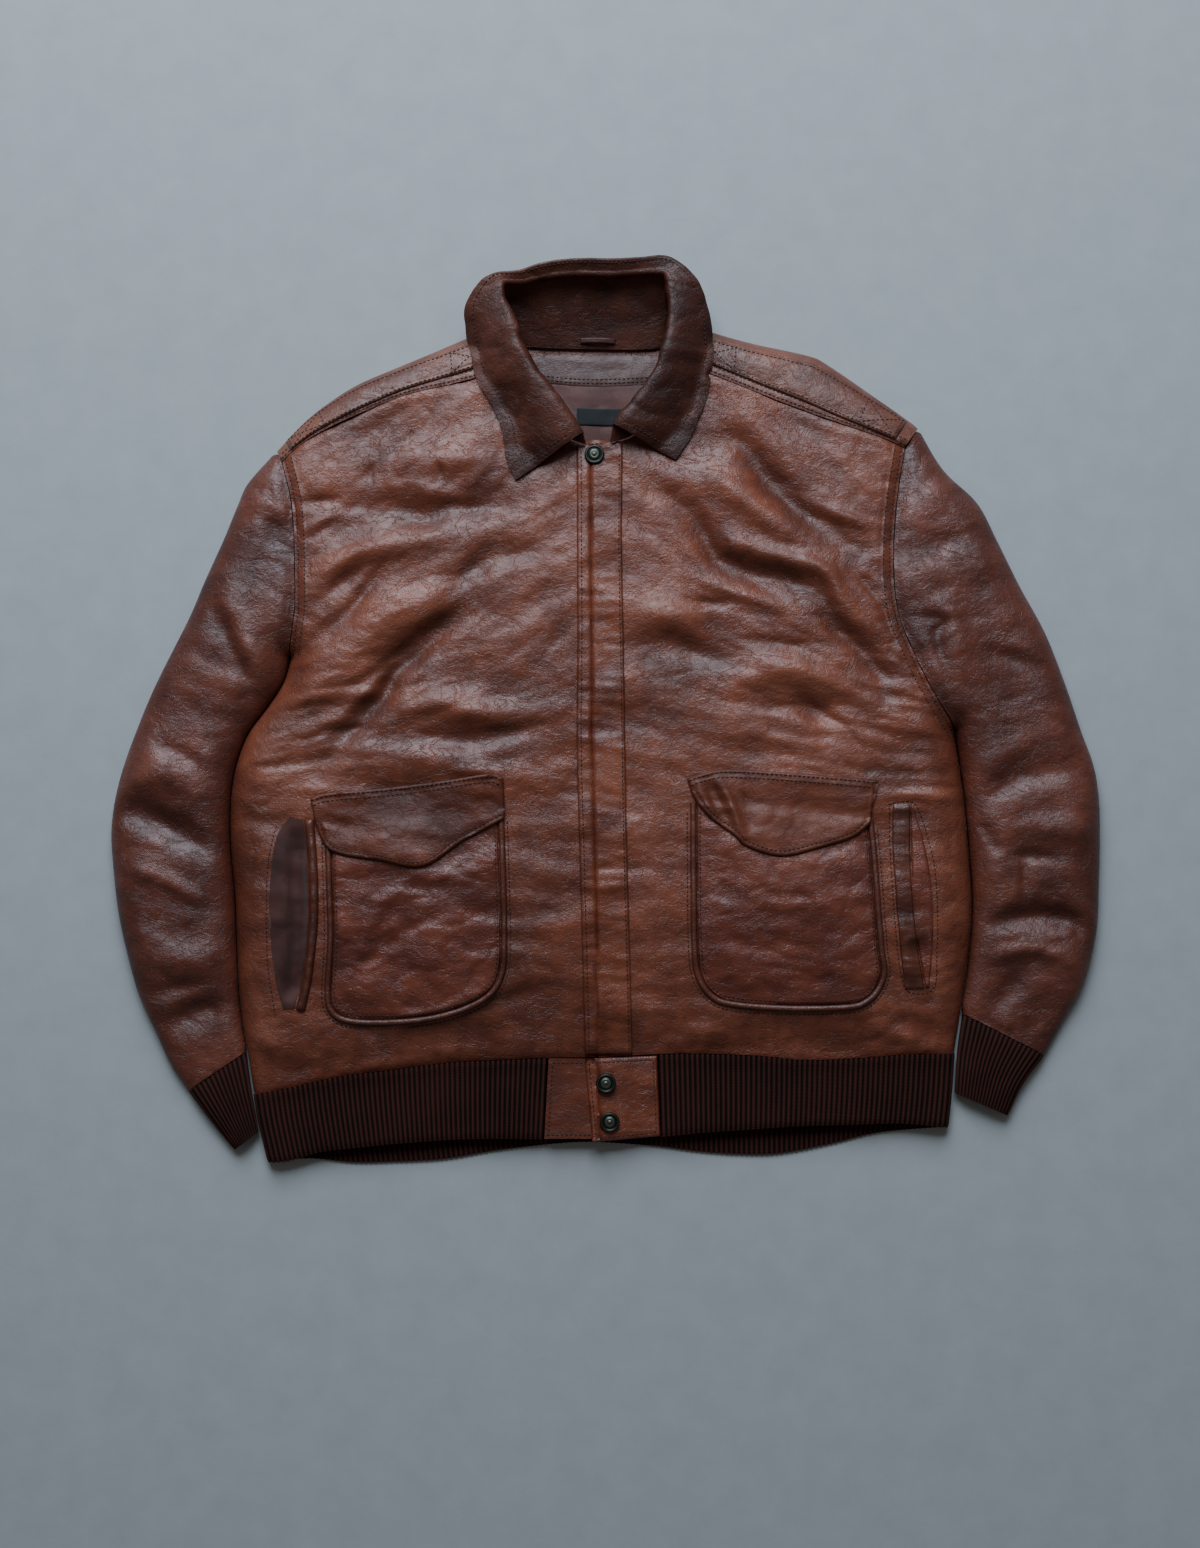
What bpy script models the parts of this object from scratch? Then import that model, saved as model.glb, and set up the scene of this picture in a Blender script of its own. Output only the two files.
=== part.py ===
"""Worn leather flight jacket, laid flat on its back with its fronts fastened.

Sizes are millimetres from the middle of the laid-out jacket. X runs towards the
wearer's left sleeve, Y towards the collar and Z up from the surface it lies on.
Right and left are the wearer's. Each cloth piece is a wall between an outer and
an inner grid of points, and a piece that lies on another is set on its points.
"""
import math

import bmesh
import bpy
import numpy as np
from mathutils import Vector
from mathutils.bvhtree import BVHTree

MM = 0.001
ORIGIN_X = 0.2
ORIGIN_Y = -0.6

# Walls and gaps
LEATHER = 2.5
BACK_LEATHER = 2.5
KNIT = 2.8
COLLAR_HALF = 1.7
SEAM_GAP = 0.6
ARMHOLE_GAP = 0.9
YOKE_GAP = 1.0
CUFF_GAP = 0.96
LAID_GAP = 0.45
THIN = 1.2

# Heights of the laid jacket
BODY_EDGE = 3.0
SLEEVE_EDGE = 5.0
SOLE_INSET = 4.0
EDGE_ROUND = 1.1
BODY_RISE_AT = (0.0, 15.0, 40.0, 90.0, 150.0, 300.0)
BODY_RISE = (13.5, 16.5, 22.5, 29.0, 33.0, 34.0)
BODY_CROWN_AT = (-350.0, 100.0, 200.0, 300.0, 345.0)
BODY_CROWN = (34.0, 34.0, 31.0, 26.0, 24.0)
SLEEVE_CROWN_AT = (0.0, 0.3, 0.6, 0.85, 1.0)
SLEEVE_CROWN = (33.0, 32.0, 30.0, 24.0, 13.0)
SLEEVE_BLEND = 70.0
SLEEVE_TIP = 6.0
TIP_WALL_SHARE = 0.2
ARMHOLE_DIP = 4.0
ARMHOLE_DIP_WIDTH = 8.0
FOLD_FADE = 20.0
BAND_TOP = 13.0
BAND_EDGE = 3.3
BAND_ROUND = 10.0
CUFF_TOP = 12.5
RIB_PITCH = 4.5
RIB_HEIGHT = 0.8
BAND_COLUMNS = 15
BAND_HEM_R = (0.0, 0.857)
BAND_HEM_L = (0.17, 1.0)
BAND_END_R = ((-51.0, -382.0), (-48.5, -312.0))
BAND_END_L = ((54.0, -378.0), (50.5, -307.0))

# Grid densities
FRONT_COLUMNS = (0.0, 0.006, 0.02, 0.045, 0.085, 0.14, 0.205, 0.27, 0.336, 0.402, 0.468,
                 0.534, 0.6, 0.666, 0.732, 0.8, 0.866, 0.933, 1.0)
FRONT_ROWS = 26
SLEEVE_COLUMNS = (0.0, 0.015, 0.05, 0.11, 0.2, 0.31, 0.43, 0.55, 0.67, 0.78, 0.88, 0.95, 0.985, 1.0)
SLEEVE_STATIONS = 25
SOLE_SHARES = (1.0, 0.75, 0.5, 0.25, 0.0)
SHOULDER_ROWS = (0.0, 0.3, 0.55, 0.74, 0.87, 0.96, 1.0)
SHOULDER_COLUMNS = 15
SEAT_STEPS = 4
SEAT_MARGIN = 0.8
POCKET_MARGIN = 1.5
POCKET_LIFT = 0.3

# Outlines of the wearer's right half, on the left from above
SHOULDER_R = [(-97, 343), (-114, 346), (-133, 338), (-166, 323), (-202, 307), (-234, 292),
              (-263, 272), (-283, 254), (-304, 230)]
YOKE_R = [(-95, 303), (-123, 295), (-148, 288), (-186, 278), (-227, 260), (-263, 242),
          (-283, 229), (-296, 217)]
ARMHOLE_R = [(-296, 217), (-287, 185), (-283, 154), (-281, 118), (-280, 82), (-286, 41)]
SIDE_R = [(-286, 41), (-292, 19), (-306, -4), (-323, -29), (-333, -60), (-336, -89), (-335, -127),
          (-330, -169), (-327, -211), (-324, -253), (-320, -285), (-315, -310), (-308, -348)]
HEM_R = [(-308, -348), (-274, -341), (-229, -330), (-184, -324), (-139, -317), (-94, -314),
         (-47, -311), (-5, -310)]
CENTRE_R = [(-5, -310), (-7, -215), (-11, -125), (-15, -35), (-16, 55), (-18, 145), (-20, 235)]
NECK_R = [(-20, 235), (-40, 241), (-60, 255), (-81, 278), (-95, 303)]
SLEEVE_OUT_R = [(-304, 230), (-329, 200), (-338, 179), (-350, 147), (-365, 111), (-379, 75),
                (-405, 19), (-421, -22), (-436, -70), (-442, -112), (-439, -151), (-432, -196),
                (-418, -247), (-409, -271), (-397, -294), (-382, -324), (-366, -346)]
SLEEVE_END_R = [(-366, -346), (-342, -332), (-316.5, -311)]
CUFF_OUT_R = [(-366, -346), (-344, -373), (-324, -396)]
CUFF_IN_R = [(-316.5, -311), (-310.5, -345), (-303.5, -380)]
BAND_SIDE_R = [(-308, -348), (-303, -373), (-294, -406)]
BAND_LOW_R = [(-294, -406), (-274, -404), (-247, -396), (-216, -392), (-184, -388), (-139, -384),
              (-94, -382), (-51, -382)]

# Outlines of the wearer's left half
SHOULDER_L = [(57, 354), (72, 353), (89, 347), (127, 337), (176, 327), (194, 319), (234, 292),
              (270, 267), (277, 261)]
YOKE_L = [(60, 308), (88, 302), (142, 281), (191, 263), (236, 248), (262, 238)]
ARMHOLE_L = [(262, 238), (255, 190), (252, 136), (256, 91), (270, 55), (288, 19), (311, -14)]
SIDE_L = [(311, -14), (316, -44), (321, -80), (325, -125), (328, -170), (325, -215), (319, -260),
          (313, -301)]
HEM_L = [(-3, -310), (50, -306), (86, -305), (140, -306), (176, -309), (221, -307), (266, -303),
         (313, -301)]
CENTRE_L = [(-3, -310), (-5, -215), (-9, -125), (-13, -35), (-14, 55), (-16, 145), (-18, 235)]
NECK_L = [(-18, 235), (16, 243), (36, 262), (52, 284), (60, 308)]
SLEEVE_OUT_L = [(277, 261), (300, 223), (331, 193), (349, 159), (370, 117), (392, 77), (410, 32),
                (425, -12), (436, -42), (441, -72), (442, -109), (441, -155), (439, -191),
                (428, -237), (410, -270), (393, -301)]
SLEEVE_END_L = [(393, -301), (356, -280), (320.5, -266)]
CUFF_OUT_L = [(393, -301), (373, -328), (361, -354)]
CUFF_IN_L = [(320.5, -266), (316, -300), (314, -335)]
BAND_SIDE_L = [(313, -301), (311, -335), (308, -365)]
BAND_LOW_L = [(54, -378), (86, -374), (131, -370), (176, -366), (221, -364), (266, -362),
              (308, -365)]
BACK_LOW = [(-294, -404), (-256, -401), (-220, -404), (-184, -403), (-139, -400), (-94, -392),
            (-40, -385), (-4, -383), (50, -386), (86, -390), (122, -392), (158, -391),
            (203, -382), (248, -371), (308, -365)]
BACK_NECK = [(-97, 343), (-88, 334), (-60, 331), (-19, 331), (32, 332), (52, 337), (57, 354)]

# Shoulder straps: how far they reach along and up the shoulder piece, from 0 to 1
STRAP_REACH = (0.06, 0.95)
STRAP_LOW = (0.22, 0.06)
STRAP_HIGH = (0.74, 0.86)

# Fly strip, tabs and trims
PLACKET_IN = [(-32, 236), (-30, 145), (-28, 55), (-27, -35), (-23, -125), (-19, -215), (-15, -308)]
PLACKET_OUT = [(9, 236), (10, 145), (13, 55), (16, -35), (19, -125), (23, -215), (27, -307)]
PLACKET_TOP = [(-32, 236), (-26, 243), (-12, 246), (3, 243), (9, 236)]
LEATHER_STRIP = 3.0
TAB_IN = ((-49.5, -382), (-2, -381), (-4, -311), (-47, -311.5))
TAB_OUT = ((-7, -384), (53, -378), (49, -307.5), (-15, -311))
TAB_LEATHER = 3.0
SNAP_RADIUS = 8.75
SNAP_PROFILE = ((8.75, 0.0), (8.75, 1.1), (8.2, 1.8), (7.2, 2.1), (6.2, 1.7), (5.2, 1.6),
                (3.6, 2.2), (1.6, 2.9))
SNAP_SEGMENTS = 16
SNAP_TOP = (-16, 226)
SNAP_TAB_UPPER = (4, -332)
SNAP_TAB_LOWER = (8, -366)

# Patch pockets: outlines run down, across and up again
POCKET_R = [(-248, -112), (-245, -163), (-243, -211), (-245, -256), (-241, -274), (-227, -283),
            (-198, -285), (-155, -281), (-120, -271), (-96, -256), (-86, -235), (-85, -205),
            (-87, -151), (-90, -95)]
POCKET_L = [(74, -84), (75, -142), (77, -210), (81, -237), (93, -255), (112, -263), (161, -266),
            (216, -264), (234, -258), (245, -246), (250, -230), (247, -210), (243, -170),
            (239, -124), (236, -96)]
POCKET_CORNERS_R = (0.33, 0.68)
POCKET_CORNERS_L = (0.34, 0.69)
PIPING_HALF = 2.75
PIPING_HEIGHT = (0.9, 3.2, 0.9)
PIPING_OFFSETS = (-1.0, 0.0, 1.0)
POCKET_LEATHER = 2.0
POCKET_BULGE = 5.0
FLAP_LEATHER = 3.0
FLAP_R_TOP = [(-261, -86), (-245, -81), (-200, -76), (-155, -70), (-105, -62), (-91, -65)]
FLAP_R_LOW = [(-256, -108), (-248, -126), (-234, -135), (-200, -140), (-160, -145), (-126, -122),
              (-89, -101)]
FLAP_L_TOP = [(71, -63), (81, -59), (106, -54), (161, -56), (234, -61), (237, -65)]
FLAP_L_LOW = [(75, -76), (88, -94), (112, -112), (124, -122), (154, -130), (188, -122),
              (218, -112), (233, -100)]

# Hand-warmer pockets
HAND_MOUTH_R = [(-279, -103), (-289, -118), (-294, -151), (-294, -196), (-289, -240), (-281, -272)]
HAND_WELT_R = [(-262, -105), (-257, -151), (-256, -196), (-260, -240), (-266, -272)]
HAND_GROOVE_R = [(-272, -112), (-271, -151), (-269, -196), (-271, -240), (-275, -266)]
HAND_WELT_L_IN = [(253, -82), (253, -124), (258, -185), (264, -234), (266, -244)]
HAND_WELT_L_OUT = [(268, -82), (269, -142), (274, -194), (283, -243)]
HAND_GROOVE_L = [(276, -198), (280, -220), (285, -239)]
HAND_LEAF_L = [(271, -84), (281, -118), (288, -161), (289, -203), (287, -243)]
HAND_WELT_WIDTH = 9.0
HAND_LEAF_GAP = 1.0
GROOVE_WIDTH = 8.0
GROOVE_DEPTH_R = 9.0
GROOVE_DEPTH_L = 3.6
GROOVE_END_SLOPE = 2.5

# Collar stations: neck seam, roll and outer edge from the right tip round the neck
COLLAR_NECK = [(-24, 236), (-44, 244), (-60, 258), (-74, 274), (-85, 291), (-92, 305), (-97, 320),
               (-97, 331), (-93, 333), (-87, 332), (-76, 331), (-49, 330), (-19, 330), (9, 330),
               (32, 331), (45, 333), (53, 333), (58, 331), (61, 325), (60, 312), (56, 294),
               (48, 276), (35, 258), (16, 244), (-2, 237)]
COLLAR_ROLL = [(-27, 243), (-38, 257), (-52, 277), (-63, 293), (-72, 307), (-80, 321), (-86, 336),
               (-92, 352), (-98, 366), (-99, 377), (-83, 379), (-62, 384), (-36, 387), (-4, 387),
               (24, 389), (43, 388), (46, 380), (47, 370), (48, 358), (47, 343), (43, 323),
               (36, 303), (25, 284), (12, 266), (1, 251)]
COLLAR_EDGE = [(-86, 202), (-96, 224), (-99, 247), (-110, 271), (-121, 291), (-128, 316),
               (-134, 338), (-134, 359), (-121, 379), (-106, 387), (-85, 390), (-67, 396),
               (-40, 400), (-4, 401), (23, 403), (45, 405), (61, 397), (75, 382), (84, 361),
               (89, 338), (89, 316), (86, 291), (79, 266), (70, 243), (57, 223)]
COLLAR_ROLL_Z = (45, 47, 49, 50, 50, 50, 49, 48, 46, 43, 40, 39, 39, 39, 40, 42, 44, 46, 48, 49,
                 50, 50, 49, 47, 45)
COLLAR_EDGE_Z = (20, 20, 20, 20, 20, 20, 28, 34, 40, 43, 45, 46, 46, 46, 45, 44, 42, 38, 33, 27,
                 20, 20, 20, 20, 20)
COLLAR_MARGIN = 3.0
COLLAR_CLEAR = 0.35
COLLAR_LEAST_STAND = 7.0
COLLAR_STAND = ((0.0, 0.0), (0.45, 0.24), (0.85, 0.52), (1.0, 0.82))
COLLAR_FALL = ((0.1, 0.0), (0.35, 0.15), (0.68, 0.55), (1.0, 1.0))

# Inside of the back neck
FACING_TOP = [(-84, 321), (-50, 324), (-19, 324), (20, 325), (47, 323)]
FACING_LOW = [(-86, 303), (-67, 299), (-22, 296), (34, 299), (52, 303)]
LINING_LOW = [(-92, 216), (-22, 208), (52, 216)]
LINING_WAVE = 2.0
LABEL_SIZE = (48.0, 16.0, 0.8)
LABEL_CENTRE = (-9, 267)
LOOP_ENDS = ((-31, 336), (1, 336))
LOOP_HALF = 2.5
LOOP_LEATHER = 1.8
LOOP_ARCH = 2.5

# Folds: line, half width and height, troughs below zero
FOLDS_R = [
    ([(-122, 96), (-150, 68), (-172, 45), (-193, 24), (-200, 6), (-230, -28), (-253, -56)], 11, -6.0),
    ([(-288, 14), (-258, 22), (-223, 50), (-196, 77), (-163, 86), (-141, 91), (-110, 116)], 17, 4.5),
    ([(-246, 160), (-205, 176), (-163, 169), (-145, 180), (-101, 181), (-85, 183)], 13, -4.5),
    ([(-196, 218), (-150, 219), (-108, 222)], 13, 3.0),
    ([(-262, 103), (-239, 123), (-205, 137), (-163, 148), (-131, 156)], 13, 4.0),
    ([(-255, 91), (-234, 114), (-212, 132)], 9, -3.0),
    ([(-196, -14), (-154, 2), (-126, -5), (-90, -12), (-39, -5)], 12, 3.5),
    ([(-177, -28), (-131, -32), (-85, -23), (-33, -12)], 10, -3.0),
    ([(-245, -44), (-155, -47), (-81, -60)], 12, 3.5),
    ([(-141, 103), (-125, 119), (-99, 135), (-72, 137)], 11, -3.5),
]
FOLDS_L = [
    ([(91, 242), (115, 240), (132, 217), (157, 192), (180, 175), (199, 159), (221, 145)], 12, -5.5),
    ([(60, 211), (91, 204), (124, 183), (157, 162), (176, 153)], 13, 4.0),
    ([(38, 194), (66, 178), (85, 155), (98, 134), (127, 122), (162, 115), (187, 109)], 12, -6.0),
    ([(96, 152), (127, 143), (157, 134), (180, 129), (195, 119), (206, 97), (228, 72)], 9, 4.0),
    ([(191, 100), (204, 72), (225, 54), (240, 36), (248, 13)], 10, -4.5),
    ([(27, 83), (81, 81)], 12, 3.0),
    ([(115, 23), (144, 36), (179, 32), (208, 23)], 12, 3.0),
    ([(38, 62), (81, 51), (124, 42)], 11, -3.5),
    ([(162, 15), (187, -8), (199, -27)], 10, -3.0),
    ([(75, -292), (108, -276)], 12, 3.0),
]
FOLDS_SLEEVE_R = [
    ([(-439, -104), (-415, -101), (-379, -118), (-338, -140)], 12, -5.5),
    ([(-429, -76), (-391, -67), (-351, -90)], 13, 3.5),
    ([(-382, -285), (-356, -274), (-325, -266)], 11, -4.0),
    ([(-415, -231), (-365, -229), (-329, -217)], 12, 2.5),
    ([(-341, 93), (-320, 48), (-305, 21)], 13, 3.5),
    ([(-305, 165), (-292, 134)], 10, -3.0),
]
FOLDS_SLEEVE_L = [
    ([(333, -187), (370, -179), (393, -178), (416, -184), (428, -199)], 11, -5.5),
    ([(328, -73), (373, -54), (434, -45)], 13, -4.0),
    ([(360, -102), (401, -100), (430, -104)], 12, 3.5),
    ([(377, -220), (360, -244), (342, -262)], 11, -3.0),
    ([(282, 100), (303, 83), (312, 50)], 11, 3.0),
]


class Ground:
    """Solids that are already laid down, met from above."""

    def __init__(self):
        self.trees = []

    def add(self, points, faces):
        self.trees.append(BVHTree.FromPolygons([Vector(p) for p in points], faces))

    def height(self, x, y):
        top = 0.0
        for tree in self.trees:
            hit = tree.ray_cast(Vector((x, y, 500.0)), Vector((0.0, 0.0, -1.0)))[0]
            if hit is not None:
                top = max(top, hit.z)
        return top

    def highest(self, x, y, margin):
        steps = ((0.0, 0.0), (margin, 0.0), (-margin, 0.0), (0.0, margin), (0.0, -margin))
        return max(self.height(x + dx, y + dy) for dx, dy in steps)


def smooth(points, steps=6):
    """Return a dense curve that passes smoothly through points set by hand."""
    knots = np.array(points, float)
    padded = np.vstack([2 * knots[0] - knots[1], knots, 2 * knots[-1] - knots[-2]])
    curve = []
    for i in range(len(knots) - 1):
        a, b, c, d = padded[i:i + 4]
        for k in range(steps):
            t = k / steps
            bend = (2 * a - 5 * b + 4 * c - d) * t * t + (3 * b - a - 3 * c + d) * t ** 3
            curve.append(b + 0.5 * ((c - a) * t + bend))
    curve.append(knots[-1])
    return np.array(curve)


def along(curve, fractions):
    """Return the points at given fractions of a curve's length."""
    steps = np.linalg.norm(np.diff(curve, axis=0), axis=1)
    reach = np.concatenate([[0.0], np.cumsum(steps)]) / steps.sum()
    return np.column_stack([np.interp(fractions, reach, curve[:, k]) for k in range(curve.shape[1])])


def part_of(curve, start, end):
    """Return the stretch of a curve between two fractions of its length."""
    return along(curve, np.linspace(start, end, 40))


def past_start(curve, distance):
    """Return a curve without its first stretch of a given length."""
    length = np.linalg.norm(np.diff(curve, axis=0), axis=1).sum()
    return along(curve, np.linspace(distance / length, 1.0, 160))


def moved_aside(curve, distance):
    """Return a curve moved to its left by a distance."""
    run = np.gradient(curve, axis=0)
    run /= np.linalg.norm(run, axis=1)[:, None]
    return curve + distance * np.column_stack([-run[:, 1], run[:, 0]])


def coons(low, high, left, right, across, up):
    """Return plan points of a patch between four edge curves.

    low and high run across, left and right run up, and the last two arguments
    are the places of the columns and rows, from 0 to 1.
    """
    bottom = along(low, across)
    top = along(high, across)
    u = np.array(across)[None, :, None]
    v = np.array(up)[:, None, None]
    side_a = left[:, None, :]
    side_b = right[:, None, :]
    ruled = (1 - v) * bottom[None] + v * top[None] + (1 - u) * side_a + u * side_b
    corners = ((1 - u) * (1 - v) * bottom[0] + u * (1 - v) * bottom[-1]
               + (1 - u) * v * top[0] + u * v * top[-1])
    return ruled - corners


def two_part_edge(lower, upper, rows, corner_row):
    """Return edge points for each row, with the two curves meeting on corner_row."""
    first = along(lower, np.linspace(0, 1, corner_row + 1))
    second = along(upper, np.linspace(0, 1, rows - corner_row))
    return np.vstack([first, second[1:]])


def nearest(curve, places):
    """Return each place's distance to a curve and how far along it that is, 0 to 1."""
    start = curve[:-1]
    run = curve[1:] - start
    offset = places[:, None, :] - start[None]
    t = np.clip((offset * run).sum(-1) / (run * run).sum(-1), 0, 1)
    gap = np.linalg.norm(offset - t[..., None] * run, axis=-1)
    best = gap.argmin(axis=1)
    row = np.arange(len(places))
    return gap[row, best], (best + t[row, best]) / len(start)


def relief(folds, places):
    """Return the height that folds add at each place."""
    total = np.zeros(len(places))
    for line, width, height in folds:
        gap, reach = nearest(smooth(line, 4), places)
        total += height * np.exp(-(gap / width) ** 2) * (0.3 + 0.7 * np.sin(math.pi * reach))
    return total


def pillow(gap, edge, crown):
    """Return the height of a stuffed shape whose rounded edge is gap away."""
    reach = np.clip(gap / (EDGE_ROUND * crown), 0, 1)
    return edge + (crown - edge) * np.sqrt(1 - (1 - reach) ** 2)


def groove(line, width, depth, places):
    """Return the depth that a pocket mouth sinks at each place."""
    gap, reach = nearest(smooth(line, 4), places)
    ends = np.clip(np.sin(math.pi * reach) * GROOVE_END_SLOPE, 0, 1)
    return -depth * np.exp(-(gap / width) ** 4) * ends


def body_height(plan, half):
    """Return the height of the front's outer face over a grid of plan points."""
    places = plan.reshape(-1, 2)
    edge_gap = np.minimum(nearest(half["side"], places)[0], nearest(half["shoulder"], places)[0])
    hem_gap = nearest(half["hem"], places)[0]
    crown = np.minimum(np.interp(hem_gap, BODY_RISE_AT, BODY_RISE),
                       np.interp(places[:, 1], BODY_CROWN_AT, BODY_CROWN))
    fade = np.clip(edge_gap / FOLD_FADE, 0, 1)
    dip = ARMHOLE_DIP * np.exp(-(nearest(half["armhole"], places)[0] / ARMHOLE_DIP_WIDTH) ** 2)
    height = pillow(edge_gap, BODY_EDGE, crown) + fade * (relief(half["folds"], places) - dip)
    height += groove(half["groove"], GROOVE_WIDTH, half["groove_depth"], places)
    return height.reshape(plan.shape[:2])


def sleeve_height(plan, stations, half):
    """Return the height of a sleeve's outer face over a grid of plan points."""
    places = plan.reshape(-1, 2)
    t = np.repeat(np.array(stations), plan.shape[1])
    edge_gap = np.minimum(nearest(half["sleeve_out"], places)[0],
                          nearest(half["sleeve_in"], places)[0])
    from_body = np.interp(places[:, 1], BODY_CROWN_AT, BODY_CROWN)
    seam_gap = nearest(half["armhole"], places)[0]
    blend = np.clip(seam_gap / SLEEVE_BLEND, 0, 1)
    crown = (1 - blend) * from_body + blend * np.interp(t, SLEEVE_CROWN_AT, SLEEVE_CROWN)
    fade = np.clip(edge_gap / FOLD_FADE, 0, 1)
    dip = ARMHOLE_DIP * np.exp(-(seam_gap / ARMHOLE_DIP_WIDTH) ** 2)
    height = pillow(edge_gap, SLEEVE_EDGE, crown) + fade * (relief(half["sleeve_folds"], places) - dip)
    return height.reshape(plan.shape[:2])


def with_height(plan, height):
    """Join a grid of plan points and a grid of heights."""
    return np.concatenate([plan, np.broadcast_to(height, plan.shape[:2])[..., None]], axis=2)


def unit_normals(grid, wraps=False):
    """Return unit normals of a grid, pointing up, or outwards where its columns wrap."""
    up = np.gradient(grid, axis=0)
    across = np.gradient(grid, axis=1)
    if wraps:
        across = np.roll(grid, -1, axis=1) - np.roll(grid, 1, axis=1)
    normals = np.cross(across, up)
    normals /= np.linalg.norm(normals, axis=2)[..., None]
    outward = grid - grid.mean(axis=1, keepdims=True) if wraps else np.array([0.0, 0.0, 1.0])
    if (normals * outward).sum() < 0:
        normals = -normals
    return normals


def inner_face(outer, thickness, wraps=False, flat_first_column=0):
    """Return the inner grid of a wall, a thickness inside its outer grid.

    flat_first_column counts the rows over which the first column is an upright
    side edge, whose points move level.
    """
    normals = unit_normals(outer, wraps)
    if flat_first_column:
        level = normals[:flat_first_column, 0]
        level[:, 2] = 0.0
        level /= np.linalg.norm(level, axis=1)[:, None]
    return outer - thickness * normals


def refined(grid, steps):
    """Return a grid with each cell cut into steps by steps cells."""
    rows = np.linspace(0, grid.shape[0] - 1, (grid.shape[0] - 1) * steps + 1)
    columns = np.linspace(0, grid.shape[1] - 1, (grid.shape[1] - 1) * steps + 1)
    low_row = np.minimum(rows.astype(int), grid.shape[0] - 2)
    low_column = np.minimum(columns.astype(int), grid.shape[1] - 2)
    v = (rows - low_row)[:, None, None]
    u = (columns - low_column)[None, :, None]
    lower = (1 - u) * grid[low_row][:, low_column] + u * grid[low_row][:, low_column + 1]
    upper = (1 - u) * grid[low_row + 1][:, low_column] + u * grid[low_row + 1][:, low_column + 1]
    return (1 - v) * lower + v * upper


def seated(ground, grid, gap, margin=SEAT_MARGIN):
    """Lift a grid of points until it clears the ground everywhere by a gap."""
    lifted = grid.copy()
    fine = refined(grid, SEAT_STEPS)
    need = np.array([[ground.highest(p[0], p[1], margin) for p in row] for row in fine]) + gap
    reach = SEAT_STEPS - 1
    for _ in range(SEAT_STEPS):
        short = need - refined(lifted, SEAT_STEPS)[..., 2]
        for i in range(grid.shape[0]):
            for j in range(grid.shape[1]):
                top = max(0, i * SEAT_STEPS - reach)
                left = max(0, j * SEAT_STEPS - reach)
                around = short[top:i * SEAT_STEPS + reach + 1, left:j * SEAT_STEPS + reach + 1]
                lifted[i, j, 2] += max(0.0, around.max())
    return lifted


def material(name, colour, roughness, metallic=0.0):
    """Return a Principled material."""
    made = bpy.data.materials.new(name)
    made.use_nodes = True
    shader = made.node_tree.nodes["Principled BSDF"]
    shader.inputs["Base Color"].default_value = (*colour, 1.0)
    shader.inputs["Roughness"].default_value = roughness
    shader.inputs["Metallic"].default_value = metallic
    return made


def solid(name, points, faces, look, ground=None):
    """Make one closed body from points in millimetres, and lay it on the ground."""
    mesh = bpy.data.meshes.new(name)
    mesh.from_pydata([((x - ORIGIN_X) * MM, (y - ORIGIN_Y) * MM, z * MM) for x, y, z in points], [], faces)
    edit = bmesh.new()
    edit.from_mesh(mesh)
    bmesh.ops.recalc_face_normals(edit, faces=edit.faces)
    edit.to_mesh(mesh)
    edit.free()
    mesh.shade_smooth()
    mesh.set_sharp_from_angle(angle=math.radians(50))
    mesh.materials.append(look)
    made = bpy.data.objects.new(name, mesh)
    bpy.context.scene.collection.objects.link(made)
    if ground is not None:
        ground.add(points, faces)
    return made


def wall(name, outer, inner, look, ground=None, link=None):
    """Make a wall between two grids of points.

    With a link of a row and a column the grid goes all round, and the seam
    between that column and the next is open below that row.
    """
    rows, columns = outer.shape[:2]
    count = rows * columns
    points = np.vstack([outer.reshape(-1, 3), inner.reshape(-1, 3)])
    sheet = []
    for i in range(rows - 1):
        for j in range(columns if link else columns - 1):
            if link and j == link[1] and i < link[0]:
                continue
            k = (j + 1) % columns
            sheet.append([i * columns + j, i * columns + k, (i + 1) * columns + k, (i + 1) * columns + j])
    edges = {}
    for quad in sheet:
        for a, b in zip(quad, quad[1:] + quad[:1]):
            edges[(a, b)] = (b, a) not in edges
            if (b, a) in edges:
                edges[(b, a)] = False
    faces = sheet + [[count + n for n in reversed(quad)] for quad in sheet]
    faces += [[b, a, count + a, count + b] for (a, b), rim in edges.items() if rim]
    return solid(name, points, faces, look, ground)


def ribbed_wall(name, outer, inner, look, ground=None):
    """Make a wall of two rows along X whose outer face has more columns than its inner one."""
    many, few = outer.shape[1], inner.shape[1]
    start = 2 * many
    points = np.vstack([outer.reshape(-1, 3), inner.reshape(-1, 3)])
    faces = [[j, j + 1, many + j + 1, many + j] for j in range(many - 1)]
    faces += [[start + j, start + few + j, start + few + j + 1, start + j + 1] for j in range(few - 1)]
    for row in (0, 1):
        i, j = 0, 0
        while i < many - 1 or j < few - 1:
            a, b = row * many + i, start + row * few + j
            if j == few - 1 or (i < many - 1 and outer[row, i + 1, 0] <= inner[row, j + 1, 0]):
                faces.append([a, b, a + 1])
                i += 1
            else:
                faces.append([a, b, b + 1])
                j += 1
    faces.append([0, many, start + few, start])
    faces.append([many - 1, start + few - 1, start + 2 * few - 1, 2 * many - 1])
    return solid(name, points, faces, look, ground)


def laid_piece(name, plan, thickness, look, ground, lift=0.0, margin=SEAT_MARGIN):
    """Make a piece of leather or cloth that lies on what is already there."""
    low = seated(ground, with_height(plan, 0.0), LAID_GAP, margin)
    low[..., 2] += lift
    high = low.copy()
    high[..., 2] += thickness
    return wall(name, high, low, look, ground)


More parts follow.
